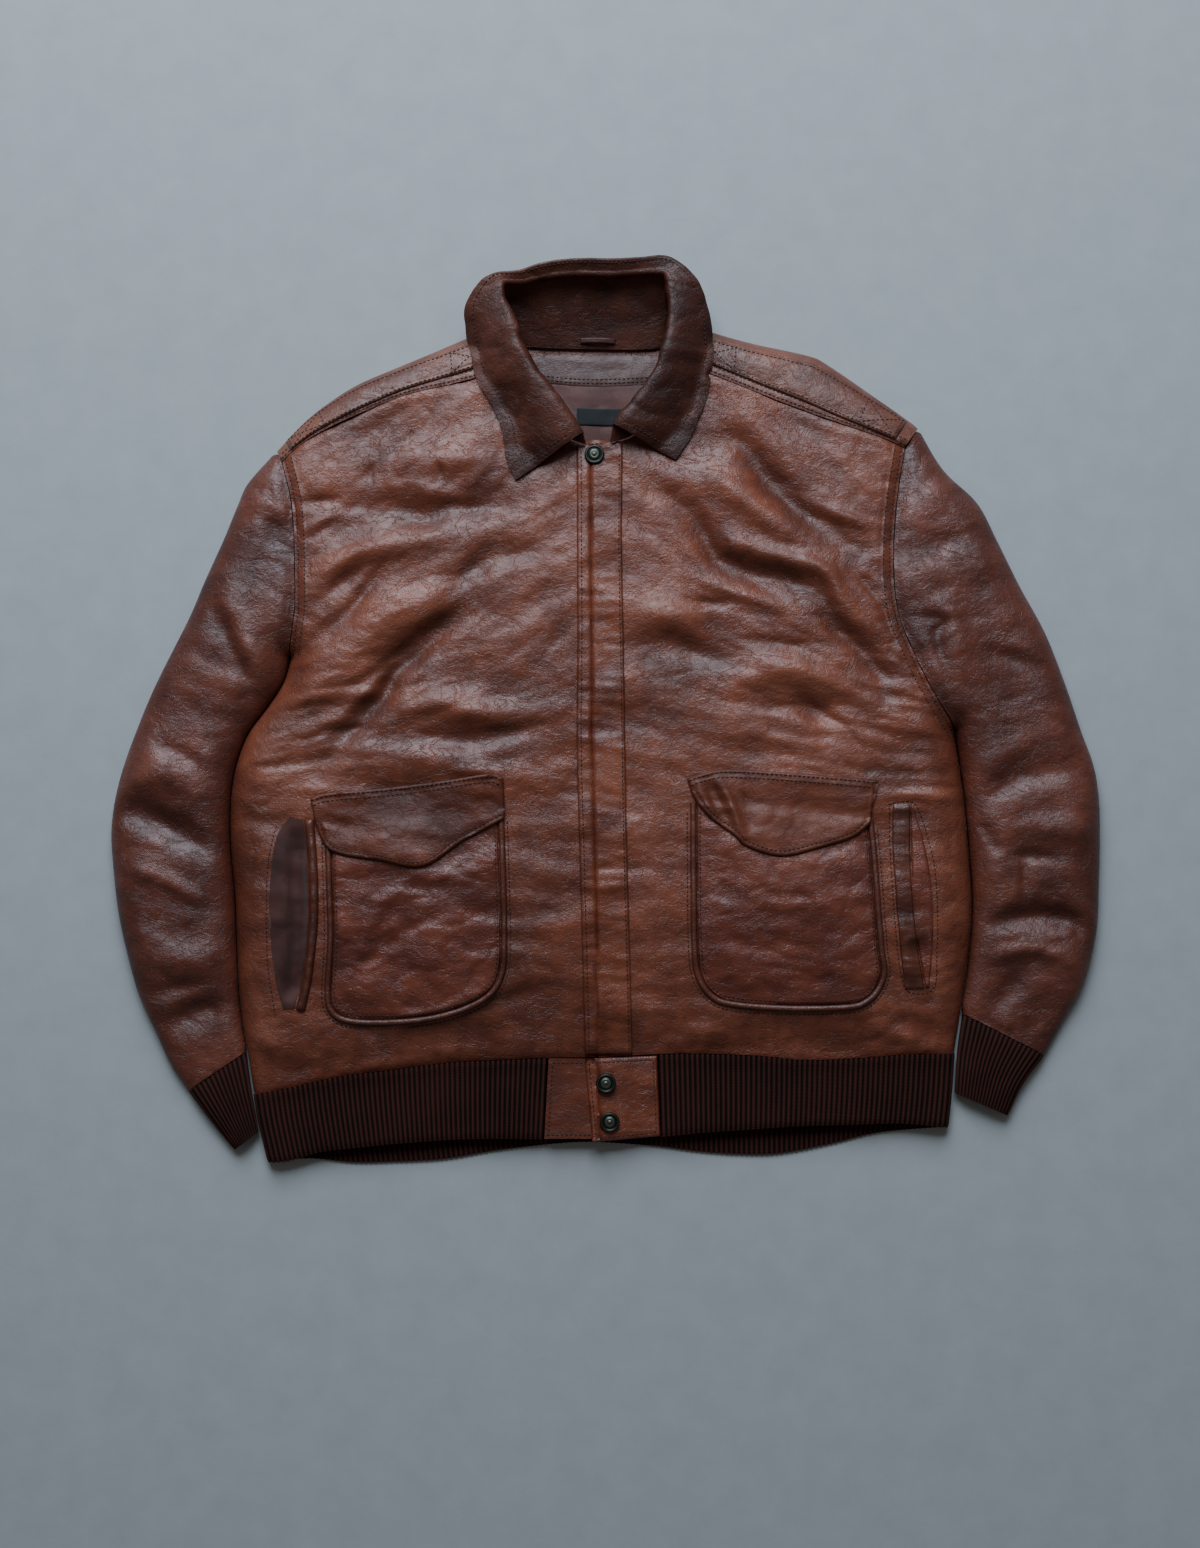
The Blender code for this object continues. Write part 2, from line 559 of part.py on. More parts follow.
def ribbon(left, right, across, rows):
    """Return plan points between two curves that run side by side."""
    a = along(left, np.linspace(0, 1, rows))
    b = along(right, np.linspace(0, 1, rows))
    u = np.array(across)[None, :, None]
    return (1 - u) * a[:, None] + u * b[:, None]


def quad_patch(corners, columns, rows):
    """Return plan points of a four-cornered piece, corners from low left round."""
    low = np.array([corners[0], corners[1]], float)
    high = np.array([corners[3], corners[2]], float)
    return ribbon(np.array([low[0], high[0]]), np.array([low[1], high[1]]),
                  np.linspace(0, 1, columns), rows)


def extruded(name, outline, bottom, top, look, ground=None):
    """Make a flat sheet from its outline."""
    count = len(outline)
    points = [(x, y, bottom) for x, y in outline] + [(x, y, top) for x, y in outline]
    faces = [list(range(count)), list(range(count, 2 * count))]
    for i in range(count):
        k = (i + 1) % count
        faces.append([i, k, count + k, count + i])
    return solid(name, points, faces, look, ground)


def lathe(name, centre, profile, base, look):
    """Make a round piece from a profile of radius and height."""
    points = []
    for radius, height in profile:
        for k in range(SNAP_SEGMENTS):
            turn = 2 * math.pi * k / SNAP_SEGMENTS
            points.append((centre[0] + radius * math.cos(turn), centre[1] + radius * math.sin(turn),
                           base + height))
    faces = [list(range(SNAP_SEGMENTS))]
    for ring in range(len(profile) - 1):
        for k in range(SNAP_SEGMENTS):
            a = ring * SNAP_SEGMENTS + k
            b = ring * SNAP_SEGMENTS + (k + 1) % SNAP_SEGMENTS
            faces.append([a, b, b + SNAP_SEGMENTS, a + SNAP_SEGMENTS])
    top = (len(profile) - 1) * SNAP_SEGMENTS
    faces.append([top + k for k in range(SNAP_SEGMENTS)])
    return solid(name, points, faces, look)


def tube(name, plan, height, look, ground, thickness, open_rows=0):
    """Make a sleeve or cuff: a domed top over a flat sole, open at both ends.

    Over the first open_rows stations its inner side is open too, at the armhole.
    """
    widths = np.linalg.norm(plan[:, -1] - plan[:, 0], axis=1)
    inset = np.minimum(SOLE_INSET / widths, 0.2)
    far_inset = np.where(np.arange(len(widths)) < open_rows, 0.0, inset)
    shares = np.array(SOLE_SHARES)[None, :]
    at = inset[:, None] + shares * (1 - inset - far_inset)[:, None]
    sole_plan = plan[:, :1] + at[..., None] * (plan[:, -1:] - plan[:, :1])
    ring = np.concatenate([with_height(plan, height), with_height(sole_plan, 0.0)], axis=1)
    walls = np.minimum(thickness, TIP_WALL_SHARE * widths)[:, None, None]
    inner = inner_face(ring, walls, wraps=True)
    inner[:, plan.shape[1]:, 2] = walls[:, 0]
    if open_rows:
        for column in (plan.shape[1] - 1, plan.shape[1]):
            inner[:open_rows, column, :2] = ring[:open_rows, column, :2]
        inner[:open_rows, plan.shape[1] - 1, 2] = (ring - walls)[:open_rows, plan.shape[1] - 1, 2]
    return wall(name, ring, inner, look, ground, link=(open_rows, plan.shape[1] - 1))


def halves():
    """Return the smooth outlines of both halves of the jacket."""
    right = {
        "side": smooth(SIDE_R), "shoulder": smooth(SHOULDER_R), "hem": smooth(HEM_R),
        "armhole": smooth(ARMHOLE_R), "yoke": smooth(YOKE_R[::-1]),
        "centre": smooth(CENTRE_R), "neck": smooth(NECK_R), "folds": FOLDS_R,
        "sleeve_out": smooth(SLEEVE_OUT_R), "sleeve_end": smooth(SLEEVE_END_R),
        "sleeve_folds": FOLDS_SLEEVE_R, "groove": HAND_GROOVE_R, "groove_depth": GROOVE_DEPTH_R,
        "away": -1.0, "armpit_station": 9,
    }
    left = {
        "side": smooth(SIDE_L), "shoulder": smooth(SHOULDER_L), "hem": smooth(HEM_L[::-1]),
        "armhole": smooth(ARMHOLE_L), "yoke": smooth(YOKE_L[::-1]),
        "centre": smooth(CENTRE_L), "neck": smooth(NECK_L), "folds": FOLDS_L,
        "sleeve_out": smooth(SLEEVE_OUT_L), "sleeve_end": smooth(SLEEVE_END_L),
        "sleeve_folds": FOLDS_SLEEVE_L, "groove": HAND_GROOVE_L, "groove_depth": GROOVE_DEPTH_L,
        "away": 1.0, "armpit_station": 12,
    }
    for half in (right, left):
        side = half["side"] + np.array([2.0 * SEAM_GAP * half["away"], 0.0])
        stop = half["sleeve_end"][-1][1]
        half["sleeve_in"] = np.vstack([side[side[:, 1] > stop + 4.0], half["sleeve_end"][-1]])
        head = np.vstack([half["sleeve_out"][:1], half["armhole"]])
        half["head"] = moved_aside(head, ARMHOLE_GAP * half["away"])
        half["sleeve_out"][0] = half["head"][0]
        half["sleeve_in"][0] = half["head"][-1]
    return right, left


def make_back(right, left, look, ground):
    """Make the back panel, a flat sheet that the whole jacket rests on."""
    outline = np.vstack([
        smooth(BACK_NECK, 2), left["shoulder"][3::3], left["armhole"][::2], left["side"][3::3],
        along(left["hem"], np.linspace(0, 1, 8))[1:], along(right["hem"], np.linspace(1, 0, 8)),
        right["side"][::-1][3::3], right["armhole"][::-1][2::2], right["shoulder"][::-1][::3][:-1],
    ])
    return extruded("back_panel", [tuple(p) for p in outline], 0.0, BACK_LEATHER, look, ground)


def make_front(name, half, rows, corner_side, corner_neck, look, ground):
    """Make one front, domed over the back and falling to it along its side."""
    up = np.linspace(0, 1, rows)
    side = two_part_edge(half["side"][::-1], half["armhole"][::-1], rows, corner_side)
    centre = two_part_edge(half["centre"], half["neck"], rows, corner_neck)
    plan = coons(half["hem"], half["yoke"], side, centre, FRONT_COLUMNS, up)
    outer = with_height(plan, body_height(plan, half))
    outer[:corner_side + 1, 0, 2] = BODY_EDGE
    inner = inner_face(outer, LEATHER, flat_first_column=corner_side + 1)
    inner[:corner_side + 1, 0, 2] = BODY_EDGE
    return wall(name, outer, inner, look, ground)


def shoulder_plan(half, rows, columns):
    """Return plan points of the piece between a front and the shoulder's edge."""
    low = half["yoke"][::-1] + np.array([0.0, YOKE_GAP])
    high = half["shoulder"]
    across = np.linspace(0, 1, columns)
    neck_side = ribbon(np.array([low[0], high[0]]), np.array([low[-1], high[-1]]), (0, 1), 2)
    left = neck_side[0, 0] + np.array(rows)[:, None] * (neck_side[1, 0] - neck_side[0, 0])
    right = neck_side[0, 1] + np.array(rows)[:, None] * (neck_side[1, 1] - neck_side[0, 1])
    return coons(low, high, left, right, across, rows)


def make_shoulder(name, half, look, ground):
    """Make the shoulder piece, which rounds down to the back panel's edge."""
    plan = shoulder_plan(half, SHOULDER_ROWS, SHOULDER_COLUMNS)
    outer = with_height(plan, body_height(plan, half))
    outer[-1, :, 2] = BODY_EDGE
    inner = inner_face(outer, LEATHER)
    inner[-1, :, 2] = BODY_EDGE
    inner[-1, :, :2] = outer[-1, :, :2] - LEATHER * unit_level(outer)
    return wall(name, outer, inner, look, ground)


def unit_level(grid):
    """Return level unit normals along a grid's last row."""
    level = unit_normals(grid)[-1].copy()
    level[:, 2] = 0.0
    return (level / np.linalg.norm(level, axis=1)[:, None])[:, :2]


def make_strap(name, half, look, ground):
    """Make the shoulder strap that is sewn down along the shoulder piece."""
    across = np.linspace(*STRAP_REACH, 12)
    low = np.interp(across, (0, 1), STRAP_LOW)
    high = np.interp(across, (0, 1), STRAP_HIGH)
    plan = []
    for share in np.linspace(0, 1, 5):
        up = (1 - share) * low + share * high
        lines = [shoulder_plan(half, (0.0, v, 1.0), 21)[1] for v in up]
        plan.append([along(line, [u])[0] for line, u in zip(lines, across)])
    return laid_piece(name, np.array(plan), LEATHER, look, ground)


def make_sleeve(name, half, look, ground):
    """Make one sleeve from the shoulder's tip to the cuff seam."""
    stations = np.linspace(0, 1, SLEEVE_STATIONS)
    armpit = half["armpit_station"]
    outside = past_start(half["sleeve_out"], SLEEVE_TIP)
    inside = two_part_edge(past_start(half["head"], SLEEVE_TIP), half["sleeve_in"],
                           SLEEVE_STATIONS, armpit)
    across = np.array(SLEEVE_COLUMNS)[None, :, None]
    plan = (1 - across) * along(outside, stations)[:, None] + across * inside[:, None]
    height = sleeve_height(plan, stations, half)
    return tube(name, plan, height, look, ground, LEATHER, open_rows=armpit)


def make_cuff(name, start, outside, inside, look, ground):
    """Make a rib-knit cuff below a sleeve's end, ribbed on top."""
    across_seam = np.linalg.norm(start[-1] - start[0])
    ribs = round(across_seam / RIB_PITCH)
    stations = np.linspace(0, 1, 3)
    run = outside[-1] - outside[0]
    shift = CUFF_GAP * run / np.linalg.norm(run)
    side_a = along(outside, stations) + shift
    side_b = along(inside, stations) + shift
    low = np.array([start[0], start[-1]]) + shift
    high = np.array([side_a[-1], side_b[-1]])
    across = np.linspace(0, 1, 2 * ribs + 1)
    plan = coons(low, high, side_a, side_b, across, stations)
    places = plan.reshape(-1, 2)
    gap = np.minimum(nearest(side_a, places)[0], nearest(side_b, places)[0])
    height = pillow(gap, SLEEVE_EDGE, CUFF_TOP).reshape(plan.shape[:2])
    height[:, 1::2] += RIB_HEIGHT
    return tube(name, plan, height, look, ground, KNIT)


def make_waistband(name, top, low, outer_side, inner_side, side_column, look, ground):
    """Make a front length of the rib-knit waistband, with a plain inside."""
    ribs = round(np.linalg.norm(top[-1] - top[0]) / RIB_PITCH)
    fine = np.linspace(0, 1, 2 * ribs + 1)
    plain = 1 - (1 - np.linspace(0, 1, BAND_COLUMNS)) ** 0.5
    plain = 1 - plain[::-1] if side_column == 0 else plain
    grids = []
    for across in (fine, plain):
        up = np.array([0.0, 1.0])
        plan = coons(low, top, along(outer_side, up), along(inner_side, up), across, up)
        gap = nearest(outer_side if side_column == 0 else inner_side, plan.reshape(-1, 2))[0]
        reach = np.clip(gap / BAND_ROUND, 0, 1)
        height = BAND_EDGE + (BAND_TOP - BAND_EDGE) * np.sqrt(1 - (1 - reach) ** 2)
        grids.append(with_height(plan, height.reshape(plan.shape[:2])))
    outer, inner = grids
    inner = inner_face(inner, KNIT)
    inner[:, side_column, 2] = BAND_EDGE
    outer[:, 1::2, 2] += RIB_HEIGHT
    outer[:, side_column, 2] = BAND_EDGE
    return ribbed_wall(name, outer, inner, look, ground)


def make_back_band(right, left, look, ground):
    """Make the back length of the waistband, which lies flat under the fronts."""
    gap = np.array([0.0, SEAM_GAP])
    top = np.vstack([along(right["hem"], np.linspace(0, 1, 12)),
                     along(left["hem"], np.linspace(1, 0, 12))]) - gap
    low = smooth(BACK_LOW, 2)
    sides = [along(smooth(BAND_SIDE_L), np.linspace(0, 1, 5))[1:-1],
             along(smooth(BAND_SIDE_R[::-1]), np.linspace(0, 1, 5))[1:-1]]
    outline = np.vstack([top, sides[0], low[::-1], sides[1]])
    return extruded("waistband_back", [tuple(p) for p in outline], 0.0, KNIT, look, ground)


def make_placket(look, ground):
    """Make the strip that covers the front opening, round at its top."""
    rows = np.linspace(0, 1, 26)
    side_in = along(smooth(PLACKET_IN[::-1]), rows)
    side_out = along(smooth(PLACKET_OUT[::-1]), rows)
    low = np.array([side_in[0], side_out[0]])
    plan = coons(low, smooth(PLACKET_TOP), side_in, side_out, np.linspace(0, 1, 5), rows)
    return laid_piece("placket", plan, LEATHER_STRIP, look, ground)


def make_pocket(side, outline, corners, leather, piping, ground):
    """Make a patch pocket and the piping round its edge."""
    path = smooth(outline)
    seam = moved_aside(path, PIPING_HALF)
    edge = moved_aside(path, 2 * PIPING_HALF + SEAM_GAP)
    down = part_of(edge, 0.0, corners[0])[::-1]
    across = part_of(edge, corners[0], corners[1])
    up = part_of(edge, corners[1], 1.0)
    top = np.array([down[-1], up[-1]])
    places = np.linspace(0, 1, 10)
    plan = coons(across, top, along(down, places), along(up, places), places, places)
    swell = POCKET_BULGE * np.outer(np.sin(math.pi * places), np.sin(math.pi * places))
    laid_piece("pocket_" + side, plan, POCKET_LEATHER, leather, ground, lift=swell)
    middle = along(seam, np.linspace(0, 1, 32))
    lines = [moved_aside(middle, share * PIPING_HALF) for share in PIPING_OFFSETS]
    strip = np.stack(lines, axis=1)
    laid_piece("pocket_piping_" + side, strip, np.array(PIPING_HEIGHT)[None, :], piping, ground)


def make_flap(side, top, low, look, ground):
    """Make a pocket flap with its pointed lower edge."""
    upper = smooth(top)
    lower = smooth(low)
    rows = np.linspace(0, 1, 7)
    left = ribbon(np.array([lower[0], upper[0]]), np.array([lower[-1], upper[-1]]), (0, 1), 7)
    plan = coons(lower, upper, left[:, 0], left[:, 1], np.linspace(0, 1, 13), rows)
    return laid_piece("pocket_flap_" + side, plan, FLAP_LEATHER, look, ground)


def make_hand_pockets(leather, lining, ground):
    """Make the welts and linings of the two hand-warmer pockets."""
    mouth = smooth(HAND_MOUTH_R)
    welt = smooth(HAND_WELT_R)
    bed = moved_aside(welt, -SEAM_GAP - HAND_WELT_WIDTH * 0.5)
    laid_piece("hand_lining_right", ribbon(mouth, bed, np.linspace(0, 1, 5), 14), THIN, lining, ground,
               lift=POCKET_LIFT, margin=POCKET_MARGIN)
    inside = moved_aside(welt, -HAND_WELT_WIDTH * 0.5 + SEAM_GAP)
    outside = moved_aside(welt, HAND_WELT_WIDTH * 0.5)
    laid_piece("hand_welt_right", ribbon(inside, outside, (0, 0.5, 1), 14), LEATHER, leather, ground,
               lift=POCKET_LIFT, margin=POCKET_MARGIN)
    inside = smooth(HAND_WELT_L_IN)
    outside = smooth(HAND_WELT_L_OUT)
    laid_piece("hand_welt_left", ribbon(inside, outside, (0, 0.5, 1), 12), LEATHER, leather, ground)
    beside = moved_aside(outside, HAND_LEAF_GAP)
    leaf = smooth(HAND_LEAF_L)
    laid_piece("hand_leaf_left", ribbon(beside, leaf, (0, 0.5, 1), 14), LEATHER, leather, ground,
               lift=POCKET_LIFT, margin=POCKET_MARGIN)


def make_collar(look, ground):
    """Make the collar, stand and leaves in one, from its stations."""
    neck = np.array(COLLAR_NECK, float)
    roll = np.array(COLLAR_ROLL, float)
    edge = np.array(COLLAR_EDGE, float)
    neck_z = np.array([ground.highest(x, y, COLLAR_MARGIN) for x, y in neck]) + LAID_GAP + COLLAR_HALF
    roll_z = np.maximum(np.array(COLLAR_ROLL_Z, float), neck_z + COLLAR_LEAST_STAND)
    edge_z = np.array(COLLAR_EDGE_Z, float)
    lines = []
    for share, rise in COLLAR_STAND:
        plan = neck + share * (roll - neck)
        lines.append(np.column_stack([plan, neck_z + rise * (roll_z - neck_z)]))
    for share, drop in COLLAR_FALL:
        plan = roll + share * (edge - roll)
        lines.append(np.column_stack([plan, roll_z + drop * (edge_z - roll_z)]))
    clear = LAID_GAP + COLLAR_HALF + COLLAR_CLEAR
    middle = seated(ground, np.stack(lines, axis=1), clear, COLLAR_MARGIN)
    across = COLLAR_HALF * unit_normals(middle)
    return wall("collar", middle + across, middle - across, look, ground)


def make_neck_inside(facing, lining, label, ground):
    """Make the facing, the lining that shows at the neck and the bare label."""
    rows = np.linspace(0, 1, 5)
    columns = np.linspace(0, 1, 12)
    top = smooth(FACING_TOP)
    low = smooth(FACING_LOW)
    ends = ribbon(np.array([low[0], top[0]]), np.array([low[-1], top[-1]]), (0, 1), 5)
    plan = coons(low, top, ends[:, 0], ends[:, 1], columns, rows)
    laid_piece("neck_facing", plan, THIN, facing, ground)
    hem = smooth(LINING_LOW)
    seam = low - np.array([0.0, SEAM_GAP])
    rows = np.linspace(0, 1, 7)
    ends = ribbon(np.array([hem[0], seam[0]]), np.array([hem[-1], seam[-1]]), (0, 1), 7)
    plan = coons(hem, seam, ends[:, 0], ends[:, 1], columns, rows)
    wave = LINING_WAVE * np.outer(np.sin(math.pi * rows), 1 + np.cos(5 * math.pi * columns)) * 0.5
    laid_piece("lining", plan, THIN, lining, ground, lift=wave)
    width, depth, thickness = LABEL_SIZE
    x, y = LABEL_CENTRE
    corners = ((x - width / 2, y - depth / 2), (x + width / 2, y - depth / 2),
               (x + width / 2, y + depth / 2), (x - width / 2, y + depth / 2))
    laid_piece("label", quad_patch(corners, 8, 3), thickness, label, ground)


def make_loop(look, ground):
    """Make the hanger loop across the back neck seam."""
    (x0, y0), (x1, y1) = LOOP_ENDS
    corners = ((x0, y0 - LOOP_HALF), (x1, y1 - LOOP_HALF), (x1, y1 + LOOP_HALF), (x0, y0 + LOOP_HALF))
    arch = LOOP_ARCH * np.sin(math.pi * np.linspace(0, 1, 9))[None, :]
    laid_piece("hanger_loop", quad_patch(corners, 9, 3), LOOP_LEATHER, look, ground, lift=arch)


def make_snap(name, centre, look, ground):
    """Make one snap cap, seated on the leather under its whole rim."""
    turns = np.linspace(0, 2 * math.pi, 24)
    rim = [ground.height(centre[0] + r * math.cos(t), centre[1] + r * math.sin(t))
           for t in turns for r in (0.0, 0.5 * SNAP_RADIUS, SNAP_RADIUS)]
    return lathe(name, centre, SNAP_PROFILE, max(rim) + LAID_GAP, look)


def make_tabs(look, ground):
    """Make the leather tabs that close the waistband, the outer over the inner."""
    rows = 6
    inner_plan = quad_patch(TAB_IN, 5, rows)
    low = with_height(inner_plan, BAND_TOP - TAB_LEATHER)
    wall("waist_tab_right", with_height(inner_plan, BAND_TOP), low, look, ground)
    outer_plan = quad_patch(TAB_OUT, 9, rows)
    step = np.interp(np.linspace(0, 1, 9), (0.0, 0.35, 0.7, 1.0), (1.0, 0.9, 0.15, 0.0))
    rise = (BAND_TOP + LAID_GAP) * step + (BAND_TOP - TAB_LEATHER) * (1 - step)
    low = seated(ground, with_height(outer_plan, rise[None, :]), LAID_GAP)
    high = low.copy()
    high[..., 2] += TAB_LEATHER
    wall("waist_tab_left", high, low, look, ground)


def build():
    """Build the jacket from its back upwards."""
    for old in list(bpy.data.objects):
        bpy.data.objects.remove(old, do_unlink=True)
    leather = {name: material("leather_" + name, colour, 0.5) for name, colour in (
        ("back", (0.115, 0.055, 0.044)), ("front_right", (0.13, 0.065, 0.055)),
        ("front_left", (0.14, 0.07, 0.06)), ("placket", (0.12, 0.05, 0.036)),
        ("shoulder_right", (0.12, 0.058, 0.048)), ("shoulder_left", (0.125, 0.06, 0.05)),
        ("strap_right", (0.11, 0.05, 0.04)), ("strap_left", (0.115, 0.052, 0.042)),
        ("sleeve_right", (0.1, 0.045, 0.035)), ("sleeve_left", (0.105, 0.047, 0.037)),
        ("collar", (0.09, 0.045, 0.042)), ("tab_outer", (0.11, 0.05, 0.038)),
        ("pocket_right", (0.12, 0.06, 0.05)), ("pocket_left", (0.13, 0.062, 0.052)),
        ("flap_right", (0.11, 0.052, 0.04)), ("flap_left", (0.1, 0.045, 0.033)),
        ("piping", (0.09, 0.04, 0.03)), ("welt", (0.08, 0.035, 0.026)),
        ("facing", (0.095, 0.052, 0.052)),
    )}
    knit = material("rib_knit", (0.022, 0.009, 0.006), 0.9)
    lining = material("cotton_lining", (0.08, 0.034, 0.028), 0.8)
    pocket_lining = material("pocket_lining", (0.06, 0.014, 0.01), 0.8)
    label = material("label_cloth", (0.012, 0.012, 0.013), 0.7)
    metal = material("antique_metal", (0.06, 0.062, 0.056), 0.35, 0.9)

    ground = Ground()
    right, left = halves()
    make_back(right, left, leather["back"], ground)
    make_back_band(right, left, knit, ground)
    make_neck_inside(leather["facing"], lining, label, ground)
    make_front("front_right", right, FRONT_ROWS, 17, 22, leather["front_right"], ground)
    make_front("front_left", left, FRONT_ROWS, 13, 22, leather["front_left"], ground)
    make_shoulder("shoulder_right", right, leather["shoulder_right"], ground)
    make_shoulder("shoulder_left", left, leather["shoulder_left"], ground)
    make_sleeve("sleeve_right", right, leather["sleeve_right"], ground)
    make_sleeve("sleeve_left", left, leather["sleeve_left"], ground)
    make_cuff("cuff_right", right["sleeve_end"], smooth(CUFF_OUT_R), smooth(CUFF_IN_R), knit, ground)
    make_cuff("cuff_left", left["sleeve_end"], smooth(CUFF_OUT_L), smooth(CUFF_IN_L), knit, ground)
    band_gap = np.array([0.0, SEAM_GAP])
    top_right = part_of(right["hem"], *BAND_HEM_R) - band_gap
    side_right = smooth(BAND_SIDE_R[::-1]) - band_gap
    make_waistband("waistband_right", top_right, smooth(BAND_LOW_R), side_right, np.array(BAND_END_R), 0,
                   knit, ground)
    top_left = part_of(left["hem"][::-1], *BAND_HEM_L) - band_gap
    side_left = smooth(BAND_SIDE_L[::-1]) - band_gap
    make_waistband("waistband_left", top_left, smooth(BAND_LOW_L), np.array(BAND_END_L), side_left, -1,
                   knit, ground)
    make_tabs(leather["tab_outer"], ground)
    make_placket(leather["placket"], ground)
    make_strap("epaulette_right", right, leather["strap_right"], ground)
    make_strap("epaulette_left", left, leather["strap_left"], ground)
    make_pocket("right", POCKET_R, POCKET_CORNERS_R, leather["pocket_right"], leather["piping"], ground)
    make_pocket("left", POCKET_L, POCKET_CORNERS_L, leather["pocket_left"], leather["piping"], ground)
    make_flap("right", FLAP_R_TOP, FLAP_R_LOW, leather["flap_right"], ground)
    make_flap("left", FLAP_L_TOP, FLAP_L_LOW, leather["flap_left"], ground)
    make_hand_pockets(leather["welt"], pocket_lining, ground)
    make_collar(leather["collar"], ground)
    make_loop(leather["facing"], ground)
    make_snap("snap_top", SNAP_TOP, metal, ground)
    make_snap("snap_tab_upper", SNAP_TAB_UPPER, metal, ground)
    make_snap("snap_tab_lower", SNAP_TAB_LOWER, metal, ground)


build()
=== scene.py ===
"""A worn leather flight jacket laid flat on its back, dressed for its photograph.

Sizes are millimetres from the middle of the laid-out jacket: X towards the
wearer's left sleeve, Y towards the collar and Z up from the floor. Right and
left are the wearer's, so the right half lies on the left of the picture.
"""
import logging
import math
from dataclasses import dataclass, field
from enum import Enum

import bpy
import numpy as np
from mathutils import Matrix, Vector, noise
from mathutils.bvhtree import BVHTree


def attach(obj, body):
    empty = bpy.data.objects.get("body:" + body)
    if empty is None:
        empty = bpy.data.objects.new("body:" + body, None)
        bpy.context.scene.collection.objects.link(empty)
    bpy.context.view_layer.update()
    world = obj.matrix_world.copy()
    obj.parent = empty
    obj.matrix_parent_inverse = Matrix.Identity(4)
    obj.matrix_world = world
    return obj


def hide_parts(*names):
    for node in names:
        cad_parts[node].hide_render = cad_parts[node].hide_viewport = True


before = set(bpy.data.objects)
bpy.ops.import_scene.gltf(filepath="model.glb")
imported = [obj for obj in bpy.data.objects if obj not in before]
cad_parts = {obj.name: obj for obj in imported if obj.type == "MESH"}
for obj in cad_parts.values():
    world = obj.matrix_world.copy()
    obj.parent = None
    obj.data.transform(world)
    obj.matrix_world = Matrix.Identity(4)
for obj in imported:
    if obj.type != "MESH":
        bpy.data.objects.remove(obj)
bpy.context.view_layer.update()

MM = 0.001
ORIGIN = np.array([0.2, -0.6, 0.0])
ON_BACK = ("back_panel",)
LOG = logging.getLogger("jacket")
Points = list[tuple[float, float]]
Array = np.ndarray
Socket = bpy.types.NodeSocket
Names = tuple[str, ...]

# Walls and gaps
SHELL = 1.5
SEAM_GAP = 0.6
ARMHOLE_GAP = 0.9
SLEEVE_GAP = 0.35
YOKE_GAP = 1.0
LAID_GAP = 0.25

# Heights of the laid jacket
BODY_EDGE = 3.0
SLEEVE_EDGE = 5.0
SOLE_INSET = 4.0
EDGE_ROUND = 1.1
BODY_RISE_AT = (0.0, 15.0, 40.0, 90.0, 150.0, 300.0)
BODY_RISE = (13.5, 16.5, 22.5, 29.0, 33.0, 34.0)
BODY_CROWN_AT = (-350.0, 100.0, 200.0, 300.0, 345.0)
BODY_CROWN = (34.0, 34.0, 31.0, 26.0, 24.0)
SLEEVE_CROWN_AT = (0.0, 0.3, 0.6, 0.85, 1.0)
SLEEVE_CROWN = (33.0, 32.0, 30.0, 24.0, 13.0)
SLEEVE_BLEND = 70.0
SLEEVE_TIP = 6.0
ARMHOLE_DIP = 4.0
ARMHOLE_DIP_WIDTH = 8.0
FOLD_FADE = 20.0
FOLD_SCALE = 1.75
BAND_TOP = 13.0
BAND_EDGE = 3.3
BAND_ROUND = 10.0
CUFF_TOP = 12.5
RIB_PITCH = 4.5
RIB_HEIGHT = 1.3
BACK_RIB_HEIGHT = 0.8
BACK_RIBS = 136
KNIT_WALL = 2.0
BAND_DEPTH = 72.0
BACK_BAND_DEPTH = 78.0
CUFF_DEPTH = 50.0

# Sewing
STITCH_PITCH = 4.0
THREAD_WIDTH = 1.15
STITCH_SHARE = 0.76
THREAD_CLEAR = 0.12
SEW_STEP = 2.5
LINE_BREAK = 8.0

# Small lumps, ripples, bumps and creases of worn leather
LUMPS, RIPPLES, BUMPS, CREASES = 2.8, 1.9, 0.55, 0.8
# Shares of the folds, the small relief and the seam dips in the painted light and shade of the leather
FOLD_LIGHT_AND_SHADE, SMALL_RELIEF_LIGHT_AND_SHADE, SEAM_DIP_SHADE = 0.16, 0.4, 0.2
CHEST_LEAN = math.radians(36.0)
SLEEVE_LEAN = 0.35


class Side(Enum):
    """The wearer's sides, with the direction that points away from the body."""

    RIGHT = -1.0
    LEFT = 1.0


class Held(Enum):
    """Ways in which a sheet of the jacket lies."""

    LAID = "laid"
    FOLDED = "folded"


# Outlines

def smooth(points: Points | Array, steps: int = 6) -> Array:
    """Return a dense curve that passes smoothly through given points.

    Args:
        points: The points, two or three numbers each.
        steps: Pieces between each pair of points.

    Returns:
        The curve's points, one row each.
    """
    knots = np.array(points, float)
    padded = np.vstack([2 * knots[0] - knots[1], knots, 2 * knots[-1] - knots[-2]])
    curve = []
    for i in range(len(knots) - 1):
        a, b, c, d = padded[i:i + 4]
        for k in range(steps):
            t = k / steps
            bend = (2 * a - 5 * b + 4 * c - d) * t * t + (3 * b - a - 3 * c + d) * t ** 3
            curve.append(b + 0.5 * ((c - a) * t + bend))
    curve.append(knots[-1])
    return np.array(curve)


def even(count: int) -> Array:
    """Return places spread evenly from 0 to 1."""
    return np.linspace(0, 1, count)


